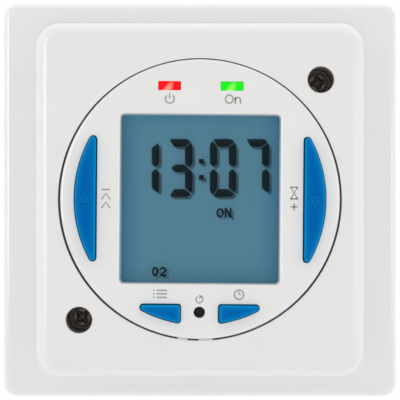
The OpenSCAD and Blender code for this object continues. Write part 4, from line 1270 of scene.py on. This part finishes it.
def advance_sign(x, y):
    """Two chevrons up to a bar: on to the next switching time."""
    half_w, rise, pitch = 0.9, 1.3, 1.9
    first, bar = y - 2.4, y + 1.6
    loops = []
    for low in (first, first + pitch):
        loops += stroke([(x - half_w, low), (x, low + rise), (x + half_w, low)])
    return loops + stroke([(x - half_w, bar), (x + half_w, bar)])


def boost_sign(x, y):
    """A sand glass over a plus: some more time."""
    half_w, glass_half_w, arm = 0.85, 0.73, 0.75
    top, low, plus_y = y + 2.7, y + 0.2, y - 1.5
    waist = (top + low) / 2
    loops = []
    for end in (top, low):
        loops += stroke([(x - half_w, end), (x + half_w, end)])
        loops += stroke([(x - glass_half_w, end), (x, waist), (x + glass_half_w, end)])
    loops += stroke([(x - arm, plus_y), (x + arm, plus_y)])
    return loops + stroke([(x, plus_y - arm), (x, plus_y + arm)])


def list_sign(x, y):
    """Three dots, each with a line: the list of switching times."""
    half_w, pitch = 1.5, 0.75
    dot_end, line_start = x - 1.15, x - 0.75
    loops = []
    for row in (y - pitch, y, y + pitch):
        loops += stroke([(x - half_w, row), (dot_end, row)])
        loops += stroke([(line_start, row), (x + half_w, row)])
    return loops


def clock_sign(x, y):
    """A clock face with two hands: the time of day."""
    r, long_hand, short_hand = 1, 0.7, 0.5
    hands = [(x, y + long_hand), (x, y), (x + short_hand, y)]
    return oval(x, y, r, r) + stroke(hands, FINE_STROKE)


def reset_sign(x, y):
    """A ring that ends in an arrow head: back to the start."""
    r, half_gap = 0.72, 30
    head = ((-0.45, 0.42), (-0.38, -0.48), (0.4, 0.1))
    ring = arc_points(x, y, r, r, 90 + half_gap, 450 - half_gap)
    end_x, end_y = ring[-1]
    return stroke(ring, FINE_STROKE) + [[(end_x + u, end_y + v) for u, v in head]]


SIGNS = (
    (power_sign, (-6.65, 21.45)),
    (on_sign, (6.85, 21.45)),
    (advance_sign, (-20.15, 0.3)),
    (boost_sign, (20.15, 0)),
    (list_sign, (-8.4, -20.35)),
    (reset_sign, (0.05, -21.5)),
    (clock_sign, (8.5, -20.4)),
)


def printed_signs():
    """Grey signs beside the buttons and the lights; each piece has its function's name."""
    ink = moulded("print_ink", PRINT, rough=0.5, vary=0.04, specular=0.3)
    for draw, xy in SIGNS:
        shell = Shell(fascia=True)
        for loop in draw(*xy):
            plate(shell, loop, DISC_Z)
        shell.build(draw.__name__, ink, "white_plastic")


display_figures()
display_border()
printed_signs()


# Studio: pale floor, soft lights and the camera in front of the face

FLOOR_GAP = 60
FLOOR_SIDE = 4000
FLOOR_WHITE = 0.9
FLOOR_GREYS = ((CLOUD_LOW, (0.92, 0.92, 0.92)), (CLOUD_HIGH, (0.94, 0.94, 0.94)))
FIBRE_SCALE = 300
CAMERA_REACH = 276
FOCAL = 109.76
SENSOR = 36
PLAIN_WHITE = (1, 1, 1, 1)


def floor_paper():
    """Pale paper that looks nearly plain white where it is seen directly."""
    finish = new_finish("floor_paper")
    fibre = finish.noise(FIBRE_SCALE, detail=3)
    finish.look({
        "Base Color": finish.ramp(fibre, FLOOR_GREYS),
        "Roughness": 0.9,
        "Specular IOR Level": 0.1,
    })
    white = finish.add("Emission", {}).outputs["Emission"]
    share = finish.math("MULTIPLY", finish.seen_directly(), FLOOR_WHITE)
    finish.surface(finish.mix(share, finish.shader.outputs["BSDF"], white))
    return finish.material


def studio_floor():
    low = cad_box[0].z / MM - FLOOR_GAP
    corners = [Vector((x, y, low)) * MM for x, y in square(0, 0, FLOOR_SIDE)]
    mesh = bpy.data.meshes.new("floor")
    mesh.from_pydata(corners, [], [(0, 1, 2, 3)])
    mesh.materials.append(floor_paper())
    floor = bpy.data.objects.new("floor", mesh)
    bpy.context.scene.collection.objects.link(floor)


# Light tent: its strength over the square of a direction's part towards the wall or away from it
TENT_PEAK = 2.2
TENT = ((0, 1.4), (0.06, 1.58), (0.22, 1.58), (0.3, 0.42), (0.9, 0.34), (0.93, 1.7), (1, 2.1))


def studio_world():
    """The light tent, with a plain white background where it is seen directly."""
    world = bpy.data.worlds.new("studio")
    bpy.context.scene.world = world
    tree = Tree(world)
    direction = tree.add("TexCoord", {}).outputs["Generated"]
    ahead = tree.axes(direction)["Y"]
    greys = [(place, (strength / TENT_PEAK,) * 3) for place, strength in TENT]
    tent = tree.ramp(tree.math("MULTIPLY", ahead, ahead), greys)
    soft = tree.nodes["Background"]
    tree.feed(soft.inputs["Color"], PLAIN_WHITE)
    tree.feed(soft.inputs["Strength"], tree.remap(tent, 0, TENT_PEAK))
    plain = tree.add("Background", {"Color": PLAIN_WHITE, "Strength": 1})
    both = tree.mix(tree.seen_directly(), soft.outputs["Background"], plain.outputs["Background"])
    tree.feed(tree.nodes["World Output"].inputs["Surface"], both)


def softbox(name, place, across, up, watts, reflector=False):
    """Area light that faces the middle of the switch; a reflector shows only as a highlight."""
    light = bpy.data.lights.new(name, "AREA")
    light.shape = "RECTANGLE"
    light.size = across * MM
    light.size_y = up * MM
    light.energy = watts
    lamp = bpy.data.objects.new(name, light)
    lamp.location = Vector(place) * MM
    lamp.rotation_euler = (-lamp.location).to_track_quat("-Z", "Y").to_euler()
    lamp.visible_diffuse = not reflector
    bpy.context.scene.collection.objects.link(lamp)


def studio_camera():
    data = bpy.data.cameras.new("camera")
    data.lens = FOCAL
    data.sensor_width = SENSOR
    camera = bpy.data.objects.new("camera", data)
    camera.location = Vector((0, -CAMERA_REACH, 0)) * MM
    camera.rotation_euler = (math.radians(90), 0, 0)
    bpy.context.scene.collection.objects.link(camera)
    bpy.context.scene.camera = camera


studio_floor()
studio_world()
softbox("left_strip", (-640, -800, 60), across=240, up=700, watts=3, reflector=True)
softbox("right_strip", (650, -780, -120), across=260, up=420, watts=1, reflector=True)
softbox("top", (0, -220, 900), across=700, up=700, watts=0.25)
studio_camera()
bpy.context.scene.view_settings.view_transform = "Standard"
